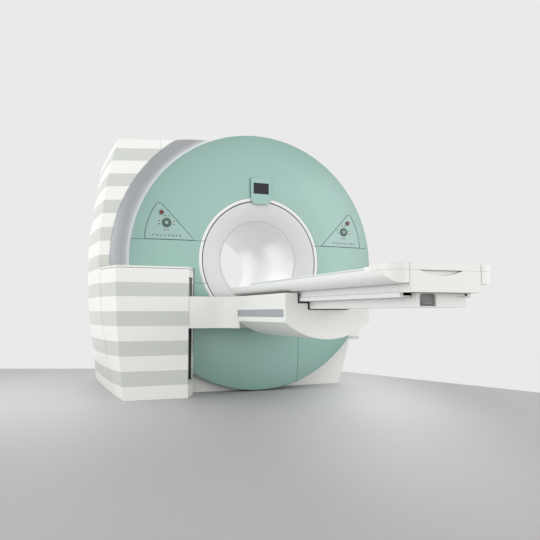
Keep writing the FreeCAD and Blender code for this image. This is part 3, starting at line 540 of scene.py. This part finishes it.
# %% [markdown]
# The housing and the tower are painted in level bands, white and light grey in turn. The bands
# follow the height above the floor, so the paint asks for Z and nothing else, and runs on from one
# cover to the next. The edge of a band is sharp, but not a hard step, as sprayed paint isn't.

# %% Banded paint
band_pitch = 0.2065
band_start = 0.0968
band_end = 0.1995
band_blur = 0.0006
housing_top_band = 2.0
tower_top_band = 0.8135
plinth_left = -0.5
plinth_front = -0.455
plinth_top = 0.385
band_looks = {"Drift": 0.02, "Roughness": 0.4, "Grain scale": 1400.0, "Grain height": 0.1}


def banded(name, highest):
    """White covers with grey bands up to a height, plain where the plinth is set back in front."""
    material, tree, shader, where = start_material(name)
    split = place(tree, "SeparateXYZ", {0: where}).outputs
    across, along, height = split["X"], split["Y"], split["Z"]
    within = maths(tree, "MODULO", height, band_pitch)
    after_start = remap(tree, within, band_start - band_blur, band_start + band_blur)
    before_end = remap(tree, within, band_end + band_blur, band_end - band_blur)
    below_top = remap(tree, height, highest + band_blur, highest - band_blur)
    band = maths(tree, "MULTIPLY", maths(tree, "MULTIPLY", after_start, before_end), below_top)
    right = maths(tree, "GREATER_THAN", across, plinth_left)
    front = maths(tree, "LESS_THAN", along, plinth_front)
    low = maths(tree, "LESS_THAN", height, plinth_top)
    plinth = maths(tree, "MULTIPLY", maths(tree, "MULTIPLY", right, front), low)
    mask = maths(tree, "SUBTRACT", band, plinth, clamp=True)
    paint = mixed(tree, "RGBA", mask, body_white, band_grey)
    uneven(tree, shader, where, paint, band_looks)
    return shade_seams(material, seam_shade_grey)


housing_paint = banded("banded_housing", housing_top_band)
tower_paint = banded("banded_tower", tower_top_band)
print("bands from", band_start, "to", band_end, "every", band_pitch)

# %% [markdown]
# Bare metal gets the brushed lines: they lighten and darken it a little and spread its
# reflections along one direction. The silver cover is a metallic paint, so it is only partly
# metal, and the two table beams are painted, so they keep the lines but no metal.

# %% Metals
line_tones = (0.93, 1.07)
line_gloss = 0.06


def metal(name, colour, roughness, stretch, scale=700.0, height=0.15, metallic=1.0, arc=None):
    """Brushed or extruded metal."""
    material, tree, shader, where = start_material(name)
    inputs = {
        "Vector": where,
        "Normal": surface_normal(tree, where, arc),
        "Stretch": stretch,
        "Scale": scale,
        "Height": height,
    }
    group = place(tree, "Group", inputs, node_tree=brushing)
    lines = group.outputs["Lines"]
    tone = remap(tree, lines, 0.0, 1.0, *line_tones)
    rough = remap(tree, lines, 0.0, 1.0, roughness - line_gloss, roughness + line_gloss)
    feed(shader.inputs["Base Color"], vector_maths(tree, "SCALE", colour[:3], scale=tone))
    feed(shader.inputs["Roughness"], rough)
    feed(shader.inputs["Normal"], group.outputs["Normal"])
    set_shader(shader, {"Metallic": metallic})
    return material


silver_looks = {"scale": 400.0, "height": 0.05, "metallic": 0.6, "arc": silver_centre}
ring_silver = metal("ring_silver", swatch(233, 237, 240), 0.5, (0.3, 1.0, 0.3), **silver_looks)
shade_across(ring_silver, silver_span, silver_shares)
along_beam = (1.0, 0.015, 1.0)
beam_looks = {"height": 0.08, "metallic": 0.0}
extruded = metal("painted_extrusion", swatch(230, 231, 229), 0.4, along_beam, **beam_looks)
shade_seams(extruded, seam_shade_grey)
inlay_metal = metal("inlay_metal", swatch(166, 172, 178), 0.4, along_beam, metallic=0.35)
print("metals in sight:", ring_silver.name, extruded.name, inlay_metal.name)

# %% [markdown]
# The magnet, its coils and the lift are hidden in the finished scanner, but a taken-apart view
# should show them well too. The coils are cast in resin, the motor housings painted, and the
# columns, the screw and the vessels bare metal.

# %% Hidden materials
machine_steel = metal("machine_steel", swatch(170, 172, 175), 0.35, (1.0, 1.0, 0.05))
bronze = metal("bronze", swatch(176, 132, 84), 0.4, (1.0, 1.0, 0.2))
copper = metal("winding_copper", swatch(190, 120, 82), 0.45, (1.0, 0.02, 1.0), scale=300.0)
vessel_steel = metal("vessel_steel", swatch(186, 188, 190), 0.4, (1.0, 0.05, 1.0))
resin_looks = {"grain": 0.3, "scale": 300.0, "drift": 0.2}
coil_resin = moulded("coil_resin", swatch(206, 190, 150), 0.5, **resin_looks)
machine_paint = moulded("machine_paint", swatch(88, 94, 100), 0.5, grain=0.25)
belt_rubber = moulded("belt_rubber", swatch(38, 38, 40), 0.7, grain=0.4, scale=700.0)
print("materials so far:", len(bpy.data.materials))

# %% [markdown]
# The display on top of the ring is switched off: a dark panel under glass. Clear glass over a dark
# plane would cost a second mesh, so a thin clear coat on a dark base gives the same faint shine.

# %% Glass of the display
glass_looks = {"Drift": 0.2, "Roughness": 0.3, "Gloss spread": 0.04, "Grain height": 0.0}


def make_screen():
    """Dark glass over an unlit display."""
    material, tree, shader, where = start_material("screen_glass")
    uneven(tree, shader, where, swatch(24, 28, 34), glass_looks)
    set_shader(shader, {"Specular IOR Level": 0.15, "Coat Weight": 0.25, "Coat Roughness": 0.05})
    return material


screen_glass = make_screen()
print("glass:", screen_glass.name)

# %% [markdown]
# ## Dressing the CAD pieces
#
# Every CAD piece that shows keeps its shape and gets its finish in its own material slot. One table
# says which, so that no piece is forgotten and the print shows any that is left.

# %% Dress the CAD pieces
finishes = (
    (lacquer, "upper_front_cover left_front_cover lower_front_cover right_front_cover"),
    (shield_lacquer, "display_shield"),
    (panel_lacquer, "control_panels"),
    (housing_paint, "left_side_cover top_cover right_side_cover rear_cover front_skirt"),
    (tower_paint, "tower_shell tower_cap"),
    (white_plastic, "arm_cover right_side_panel carrier_belly carrier_end_plate end_panel"),
    (white_plastic, "beam_end_block foot_board coil_socket_block"),
    (tunnel_plastic, "tunnel_liner rear_funnel bore_trim tunnel_floor"),
    (lip_plastic, "front_funnel"),
    (rail_plastic, "tunnel_rails"),
    (ring_silver, "silver_ring"),
    (inlay_metal, "inlay_strip"),
    (extruded, "upper_table_beam lower_table_beam table_frame"),
    (board_laminate, "tabletop"),
    (socket_plastic, "plug_socket"),
    (dark_plastic, "cover_bulkhead"),
    (round_pad_plastic, "direction_pads"),
    (screen_glass, "display_screen"),
    (key_plastic, "panel_keys"),
    (pad_plastic, "left_centre_button right_centre_button"),
    (red_plastic, "left_stop_button right_stop_button"),
    (machine_steel, "lift_column lift_rails lift_screw lift_carriage arm_beam magnet_base"),
    (vessel_steel, "vacuum_vessel helium_vessel cold_head"),
    (bronze, "lift_nut"),
    (copper, "main_coils"),
    (coil_resin, "gradient_coil body_coil cold_mass_supports"),
    (machine_paint, "lift_motor belt_drive"),
    (belt_rubber, "drive_belt"),
)
dressed = set()
for finish, names in finishes:
    for name in names.split():
        for slot in nodes[name].material_slots:
            slot.material = finish
        dressed.add(name)
print("dressed:", len(dressed), "left:", sorted(set(nodes) - dressed))

# %% [markdown]
# ## The mattress
#
# The patient lies on a thin foam mat in a wipe-clean cover. Foam pushes the cover out in the
# middle, and the seam round the side holds it in, so it is a crowned form with soft edges, not a
# slab. Cloth simulation is the usual way to fill a cushion out. This pad is thin and nearly flat,
# so its form is built directly, which keeps its rolled edge exact. It starts from the mat's
# outline seen from above, with wide corners at the bore's end.

# %% Outline of the mattress
pad_low, pad_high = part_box("patient_pad")
pad_half = (pad_high.x - pad_low.x) / 2
pad_half_long = (pad_high.y - pad_low.y) / 2
pad_mid = (pad_high.y + pad_low.y) / 2
bore_corner = 0.05
foot_corner = 0.012
corner_steps = 12
longest_edge = 0.03


def mattress_outline():
    """Points round the mat: four rounded corners and the divided sides between them."""
    corners = []
    for x0, y0, radius, start in (
        (1, 1, bore_corner, 0),
        (-1, 1, bore_corner, 90),
        (-1, -1, foot_corner, 180),
        (1, -1, foot_corner, 270),
    ):
        for k in range(corner_steps + 1):
            angle = math.radians(start + 90 * k / corner_steps)
            corners.append((
                x0 * (pad_half - radius) + radius * math.cos(angle),
                y0 * (pad_half_long - radius) + radius * math.sin(angle),
            ))
    points = []
    for here, after in zip(corners, corners[1:] + corners[:1]):
        steps = max(1, round(math.dist(here, after) / longest_edge))
        for k in range(steps):
            share = k / steps
            points.append(tuple(a + (b - a) * share for a, b in zip(here, after)))
    return points


print("points round the mat:", len(mattress_outline()))

# %% [markdown]
# Rings of that outline are stacked from the underside to the crown. Each lies a little further in
# or out and higher than the last: a rolled edge below the seam, a rolled edge above it, and then a
# slow rise to the middle.

# %% Shape of the mattress
edge_soft = 0.011
seam_share = 0.45
side_share = 0.72
mat_gap = 0.0002
crown = ((0.03, 0.86), (0.055, 0.93), (0.085, 0.97), (0.12, 0.99), (0.15, 1.0))


def finished(mesh, name):
    """The mesh data of a closed form, with its faces turned outwards."""
    bmesh.ops.recalc_face_normals(mesh, faces=mesh.faces)
    data = bpy.data.meshes.new(name)
    mesh.to_mesh(data)
    mesh.free()
    return data


def mattress_levels():
    """How far in and how high each ring lies, from the underside to the crown."""
    turns = [math.radians(angle) for angle in range(0, 91, 15)]
    rolled = [(edge_soft * (1 - math.cos(turn)), math.sin(turn)) for turn in turns]
    thick = pad_high.z - pad_low.z
    seam = pad_low.z + thick * seam_share
    below = seam - pad_low.z - mat_gap
    above = pad_low.z + thick * side_share - seam
    levels = [(inset, seam - below * rise) for inset, rise in reversed(rolled)]
    levels += [(inset, seam + above * rise) for inset, rise in rolled[1:]]
    levels += [(inset, pad_low.z + thick * rise) for inset, rise in crown]
    return levels


def build_mattress():
    """The crowned mat as one closed mesh, from rings that follow its outline."""
    mesh = bmesh.new()
    outline = mattress_outline()
    rings = []
    for inset, height in mattress_levels():
        wide = (pad_half - inset) / pad_half
        long = (pad_half_long - inset) / pad_half_long
        spots = [(x * wide, pad_mid + y * long, height) for x, y in outline]
        rings.append([mesh.verts.new(spot) for spot in spots])
    for lower, upper in zip(rings, rings[1:]):
        for k in range(len(outline)):
            after = (k + 1) % len(outline)
            mesh.faces.new((lower[k], lower[after], upper[after], upper[k]))
    mesh.faces.new(rings[-1])
    mesh.faces.new(list(reversed(rings[0])))
    data = finished(mesh, "mattress")
    for face in data.polygons:
        face.use_smooth = len(face.vertices) == 4
    return data


print("rings of the mat:", len(mattress_levels()))

# %% [markdown]
# The cover is a coated fabric: an even pale grey with a very fine weave, slightly shiny. Two waves
# across each other make the weave, and a little sheen gives the soft glow of cloth at its rim.

# %% Coated fabric
weave_scale = 160.0
weave_strength = 0.35
weave_relief = 0.0004
fabric_looks = {"Drift": 0.04, "Roughness": 0.5, "Grain scale": 2500.0, "Grain height": 0.1}


def make_fabric():
    """Wipe-clean cover with a fine weave."""
    material, tree, shader, where = start_material("coated_fabric")
    group = uneven(tree, shader, where, swatch(214, 217, 216), fabric_looks)
    waves = []
    for direction in ("X", "Y"):
        inputs = {"Scale": weave_scale, "Vector": where}
        wave = place(tree, "TexWave", inputs, bands_direction=direction)
        waves.append(wave.outputs["Fac"])
    weave = maths(tree, "MULTIPLY", *waves)
    relief = bump(tree, weave, weave_strength, weave_relief, group.outputs["Normal"])
    feed(shader.inputs["Normal"], relief)
    set_shader(shader, {"Sheen Weight": 0.15, "Sheen Roughness": 0.4})
    return material


def add_piece(name, data, finish):
    """A new object in the scene, with its finish."""
    piece = bpy.data.objects.new(name, data)
    bpy.context.scene.collection.objects.link(piece)
    data.materials.append(finish)
    return piece


mattress = add_piece("mattress", build_mattress(), make_fabric())
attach(mattress, "table")
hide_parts("patient_pad")
print("mattress faces:", len(mattress.data.polygons))

# %% [markdown]
# ## Signs on the keys
#
# The four keys round each direction pad carry pairs of plain arrows, and the row of small keys
# below it short plain marks. On the real panel they are printed. A print could be painted by a
# material, but thin closed forms stay sharp close up, so each sign is a flat outline with a front
# and a back. The keys are not quite level with the panel, so the front of each point is found by
# looking along +Y for the surface that is really there.

# %% Finding the front of a piece
print_thick = 0.0003
before_object = -2.0
depth_axis = Vector((0.0, 1.0, 0.0))


def front_of(name):
    """A search tree of a CAD piece, for finding its front surface."""
    data = nodes[name].data
    return BVHTree.FromPolygons([v.co for v in data.vertices], [p.vertices for p in data.polygons])


def add_sign(mesh, surface, outline):
    """A printed sign with an outline of (x, z), which lies on the front of a piece."""
    front, back = [], []
    for x, z in outline:
        depth = surface.ray_cast(Vector((x, before_object, z)), depth_axis)[0].y
        front.append(mesh.verts.new((x, depth - print_thick, z)))
        back.append(mesh.verts.new((x, depth + print_thick, z)))
    mesh.faces.new(front)
    mesh.faces.new(list(reversed(back)))
    for k in range(len(outline)):
        after = (k + 1) % len(outline)
        mesh.faces.new((front[k], back[k], back[after], front[after]))


print("a sign stands", print_thick * 1000, "mm proud")

# %% [markdown]
# An arrow reaches over the edge of its key on to the panel, which lies a little deeper. It is
# therefore cut at the key's edge: the wide part lies on the key and the tip on the panel.

# %% Arrows
arrow_turn = {"right": 0, "up": 90, "left": 180, "down": 270}
key_half = (0.009, 0.008)
arrow_foot = 0.0038
arrow_tip = 0.0185
arrow_half = 0.0074
edge_gap = 0.0002


def arrow_outlines(x, z, direction):
    """An arrow head in two outlines: the part on its key, and the tip beside the key."""
    turned = math.radians(arrow_turn[direction])
    edge = key_half[0] if direction in ("left", "right") else key_half[1]

    def turn(points):
        c, s = math.cos(turned), math.sin(turned)
        return [(x + c * out - s * aside, z + s * out + c * aside) for out, aside in points]

    def width_at(along):
        return arrow_half * (arrow_tip - along) / (arrow_tip - arrow_foot)

    near, far = edge - edge_gap, edge + edge_gap
    foot = [(arrow_foot, -arrow_half), (near, -width_at(near))]
    on_key = foot + [(along, -across) for along, across in reversed(foot)]
    beside = [(far, -width_at(far)), (arrow_tip, 0.0), (far, width_at(far))]
    return turn(on_key), turn(beside)


print("width of an arrow:", 2 * arrow_half)

# %% [markdown]
# All the signs of one panel make one piece, and the right panel is the mirror image of the left.

# %% Signs of both panels
pad_centre = (0.739, 1.266)
arrow_keys = (
    (-0.054, 0.0, ("up", "down")),
    (0.054, 0.0, ("up", "down")),
    (0.0, 0.052, ("left", "right")),
    (0.0, -0.052, ("left", "right")),
)
row_start = 0.636
row_pitch = 0.0287
row_count = 8
row_height = 1.172
row_signs = ((0.0058, 0.0048), (0.0062, 0.004), (0.005, 0.0052))


def build_signs(side):
    """All the signs of one panel."""
    mesh = bmesh.new()
    keys, panel = front_of("panel_keys"), front_of("control_panels")
    centre_x = side * pad_centre[0]
    for dx, dz, pair in arrow_keys:
        for direction in pair:
            on_key, beside = arrow_outlines(centre_x + dx, pad_centre[1] + dz, direction)
            add_sign(mesh, keys, on_key)
            add_sign(mesh, panel, beside)
    for n in range(row_count):
        x = side * (row_start + row_pitch * n)
        wide, tall = row_signs[n % len(row_signs)]
        corners = ((-wide, -tall), (wide, -tall), (wide, tall), (-wide, tall))
        add_sign(mesh, keys, [(x + a, row_height + c) for a, c in corners])
    return finished(mesh, "key_signs")


for name, side in (("left_key_signs", -1), ("right_key_signs", 1)):
    piece = add_piece(name, build_signs(side), dark_plastic)
    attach(piece, "magnet")
print("signs on each panel:", 2 * len(arrow_keys) + row_count)

# %% [markdown]
# ## The bellows of the arm slot
#
# The arm of the table comes out of a tall slot in the tower and travels up and down in it. On the
# real scanner a pleated bellows above the arm and one below it close the slot, open and fold as the
# arm moves, and have one end with the tower and the other with the arm. Here each is a folded skin
# that runs along the inner face of the slanted wall.

# %% Shape of a bellows
slot_front = Vector((-0.6190, -0.8945, 0.0))
slot_rear = Vector((-0.5513, -0.7545, 0.0))
fold_depth = 0.012
skin = 0.0012


def build_bellows(bottom, top, folds):
    """A pleated sheet between two heights, its folds pointing away from the wall."""
    mesh = bmesh.new()
    wall = (slot_rear - slot_front).normalized()
    inward = Vector((-wall.y, wall.x, 0.0))
    rows = []
    for n in range(2 * folds + 1):
        height = bottom + (top - bottom) * n / (2 * folds)
        depth = fold_depth if n % 2 else 0.0
        row = []
        for point in (slot_front, slot_rear):
            for extra in (0.0, skin):
                spot = point + inward * (depth + extra)
                row.append(mesh.verts.new((spot.x, spot.y, height)))
        rows.append(row)
    for low_row, high_row in zip(rows, rows[1:]):
        for a, b in ((0, 2), (2, 3), (3, 1), (1, 0)):
            mesh.faces.new((low_row[a], low_row[b], high_row[b], high_row[a]))
    mesh.faces.new([rows[0][k] for k in (0, 1, 3, 2)])
    mesh.faces.new([rows[-1][k] for k in (0, 2, 3, 1)])
    return finished(mesh, "bellows")


print("width of the bellows:", round((slot_rear - slot_front).length, 4))

# %% Both bellows
slot_low, slot_high = 0.122, 0.858
arm_low, arm_high = (corner.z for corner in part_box("arm_cover"))
end_gap = 0.0005
# Both bellows are one light grey skin. The lower one lies in the shade under the arm, and its dark
# skin is painted shade.
upper_skin = moulded("light_bellows_skin", swatch(178, 181, 181), 0.6, grain=0.2, scale=900.0)
shaded_lower_skin = moulded("bellows_skin_painted_shade", swatch(84, 88, 90), 0.6, grain=0.2, scale=900.0)
for name, bottom, top, folds, finish, fixed_end, moving_end in (
    ("upper_bellows", arm_high, slot_high, 14, upper_skin, slot_high, arm_high),
    ("lower_bellows", slot_low, arm_low, 40, shaded_lower_skin, slot_low, arm_low),
):
    piece = add_piece(name, build_bellows(bottom + end_gap, top - end_gap, folds), finish)
    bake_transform(piece)
    stretched_out = 2 * folds * math.hypot(fold_depth, (top - bottom) / (2 * folds))
    print(name, "folds:", folds, "unfolded length:", round(stretched_out, 3))

# %% [markdown]
# ## The painted shadow at the carrier's end plate
#
# The beams of the table leave the carrier through a stepped opening in its end plate. The gap round
# them lies in deep shadow, and a flat black band on the plate round that opening stands for it:
# painted shadow, down to the beams. It is a band between two stepped outlines, one close to the
# beams and one further out.

# %% Outline of the painted shadow
gap_shadow_inner = 0.0006
gap_shadow_outer = 0.011
gap_shadow_under = 0.0035
gap_shadow_back = 0.0001
gap_shadow_front = 0.0016


def gap_shadow_outline(offset):
    """Stepped outline round both beams at a distance, from the top left to the top right."""
    plate_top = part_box("carrier_end_plate")[1].z
    upper_low, upper_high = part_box("upper_table_beam")
    lower_low, lower_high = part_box("lower_table_beam")
    step = upper_low.z - offset
    under = lower_low.z - min(offset, gap_shadow_under)
    return (
        (upper_low.x - offset, plate_top),
        (upper_low.x - offset, step),
        (lower_low.x - offset, step),
        (lower_low.x - offset, under),
        (lower_high.x + offset, under),
        (lower_high.x + offset, step),
        (upper_high.x + offset, step),
        (upper_high.x + offset, plate_top),
    )


# The width of the band of painted shadow.
print("seal width:", round(gap_shadow_outer - gap_shadow_inner, 4))


# %% Painted shadow round the beams
def build_gap_shadow():
    """The band of painted shadow between two outlines, as a thin closed sheet on the plate's face.
    """
    mesh = bmesh.new()
    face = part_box("carrier_end_plate")[0].y
    rings = [
        [mesh.verts.new((x, face - depth, z)) for x, z in gap_shadow_outline(offset)]
        for offset, depth in (
            (gap_shadow_inner, gap_shadow_front),
            (gap_shadow_outer, gap_shadow_front),
            (gap_shadow_outer, gap_shadow_back),
            (gap_shadow_inner, gap_shadow_back),
        )
    ]
    for ring, after in zip(rings, rings[1:] + rings[:1]):
        for k in range(len(ring) - 1):
            mesh.faces.new((ring[k], ring[k + 1], after[k + 1], after[k]))
    mesh.faces.new([ring[0] for ring in rings])
    mesh.faces.new([ring[-1] for ring in reversed(rings)])
    return finished(mesh, "beam_gap_shadow")


# The band takes the black rubber finish as painted shadow for the gap round the beams.
beam_gap_shadow = add_piece("beam_gap_shadow", build_gap_shadow(), belt_rubber)
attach(beam_gap_shadow, "lift")
print("seal faces:", len(beam_gap_shadow.data.polygons))

# %% [markdown]
# ## Floor, light and camera
#
# The scanner stands on a plain pale floor in front of a light grey wall. The floor ends behind the
# machine in a straight edge, and above it only the wall shows. Two soft pools of light on the
# floor are part of its colour, because lamps bright enough to make them would bleach the covers.

# %% Floor
floor_behind = [(-14.0, 6.97), (1.25, 0.85)]
floor_in_front = [(1.94, -1.61), (4.69, -11.47), (4.69, -16.0), (-14.0, -16.0)]
floor_edge = floor_behind + floor_in_front
floor_grey = 0.335
light_pools = (
    ((0.54, -1.3, 0.0), 66.0, (3.2, 0.9, 1.0), 0.31),
    ((-1.8, -0.5, 0.0), 0.0, (2.6, 2.6, 1.0), 0.17),
)
floor_looks = {"Drift": 0.0, "Roughness": 0.55, "Grain scale": 300.0, "Grain height": 0.02}


def make_floor():
    """Pale matt floor with its pools of light, each given by centre, turn, size and gain."""
    material, tree, shader, where = start_material("studio_floor")
    total = floor_grey
    for centre, turn, size, gain in light_pools:
        rotation = (0.0, 0.0, math.radians(turn))
        inputs = {"Location": centre, "Rotation": rotation, "Scale": size, "Vector": where}
        pool = place(tree, "Mapping", inputs, vector_type="TEXTURE")
        reach = vector_maths(tree, "LENGTH", pool.outputs[0])
        fade = remap(tree, reach, 0.0, 1.0, gain, 0.0, interpolation_type="SMOOTHSTEP")
        total = maths(tree, "ADD", fade, total)
    grey = place(tree, "CombineColor", enumerate((total, total, total)))
    uneven(tree, shader, where, grey.outputs[0], floor_looks)
    return material


floor_mesh = bpy.data.meshes.new("floor")
floor_mesh.from_pydata([(x, y, 0.0) for x, y in floor_edge], [], [list(range(len(floor_edge)))])
floor_mesh.update()
floor = add_piece("floor", floor_mesh, make_floor())
print("floor corners:", len(floor_edge))

# %% [markdown]
# What the camera sees behind everything is the wall's grey. The object itself is lit by an even
# white sky instead, so that the wall can be as pale as it should be without changing the light.

# %% Wall colour and soft light from all round
wall_grey = swatch(234, 234, 234)
sky_strength = 1.09


def make_world():
    """The wall for what looks straight at it, and an even sky for everything else."""
    world = bpy.data.worlds.new("studio")
    bpy.context.scene.world = world
    world.use_nodes = True
    tree = world.node_tree
    tree.nodes.clear()
    path = place(tree, "LightPath").outputs
    seen = maths(tree, "MAXIMUM", path["Is Camera Ray"], path["Is Transmission Ray"])
    wall = place(tree, "Background", {"Color": wall_grey})
    sky = place(tree, "Background", {"Color": (1.0, 1.0, 1.0, 1.0), "Strength": sky_strength})
    mix = place(tree, "MixShader", {"Fac": seen, 1: sky.outputs[0], 2: wall.outputs[0]})
    place(tree, "OutputWorld", {"Surface": mix.outputs[0]})
    return world


print("world:", make_world().name)

# %% [markdown]
# Big square lamps stand round the scanner and model its forms softly. The low one and the one under
# the table stand in for light that a real room's walls and floor throw back, and the two small ones
# for the lights inside the tunnel. The camera sees none of them.

# %% Lamps
# Each lamp: where it stands, where it points, its width in metres and its power in watts.
lamps = {
    "key_lamp": ((-3.9, -6.2, 2.9), (0.0, -0.8, 0.9), 3.6, 14.0),
    "front_lamp": ((2.6, -7.0, 1.9), (0.3, -1.4, 0.8), 3.2, 28.0),
    "left_lamp": ((-6.2, 0.2, 2.2), (-1.0, -0.2, 0.9), 3.2, 68.0),
    "right_lamp": ((4.4, -4.6, 2.4), (0.6, -0.4, 0.9), 3.2, 46.0),
    "low_lamp": ((-5.5, -3.6, 0.9), (-0.4, -0.9, 0.8), 2.4, 34.0),
    "under_lamp": ((-0.3, -2.2, 0.03), (-0.3, -2.1, 0.7), 1.4, 1.8),
    "top_lamp": ((0.2, -1.2, 5.4), (0.1, -1.0, 0.5), 4.5, 9.0),
    "rear_lamp": ((0.5, 6.0, 3.0), (0.0, 0.6, 0.9), 4.0, 14.0),
    "tunnel_front_lamp": ((0.0, -0.3, 1.2), (0.0, -0.3, 0.8), 0.34, 1.05),
    "tunnel_rear_lamp": ((0.0, 0.4, 1.2), (0.0, 0.4, 0.8), 0.34, 1.0),
}


def aim(thing, direction):
    """Turns a lamp or a camera to look along a direction."""
    thing.rotation_euler = direction.to_track_quat("-Z", "Y").to_euler()


for name, (position, target, width, power) in lamps.items():
    light = bpy.data.lights.new(name, "AREA")
    light.size = width
    light.energy = power
    lamp = bpy.data.objects.new(name, light)
    lamp.location = position
    aim(lamp, Vector(target) - Vector(position))
    lamp.visible_camera = False
    bpy.context.scene.collection.objects.link(lamp)
print("lamps:", list(lamps))

# %% [markdown]
# The camera stands low, to the left of the table's end, and looks slightly up. Angles are in
# degrees, the lens and the sensor in millimetres.

# %% Camera
camera_place = (-1.707, -5.193, 0.60)
camera_yaw = 21.86
camera_pitch = 4.0
camera_lens = 41.0
sensor_width = 36.0

camera_data = bpy.data.cameras.new("camera")
camera_data.lens = camera_lens
camera_data.sensor_width = sensor_width
camera = bpy.data.objects.new("camera", camera_data)
bpy.context.scene.collection.objects.link(camera)
camera.location = camera_place
yaw, pitch = math.radians(camera_yaw), math.radians(camera_pitch)
ahead = math.cos(pitch)
aim(camera, Vector((math.sin(yaw) * ahead, math.cos(yaw) * ahead, math.sin(pitch))))
bpy.context.scene.camera = camera
bpy.context.scene.view_settings.view_transform = "Standard"
print("camera at:", camera_place, "lens:", camera_lens)
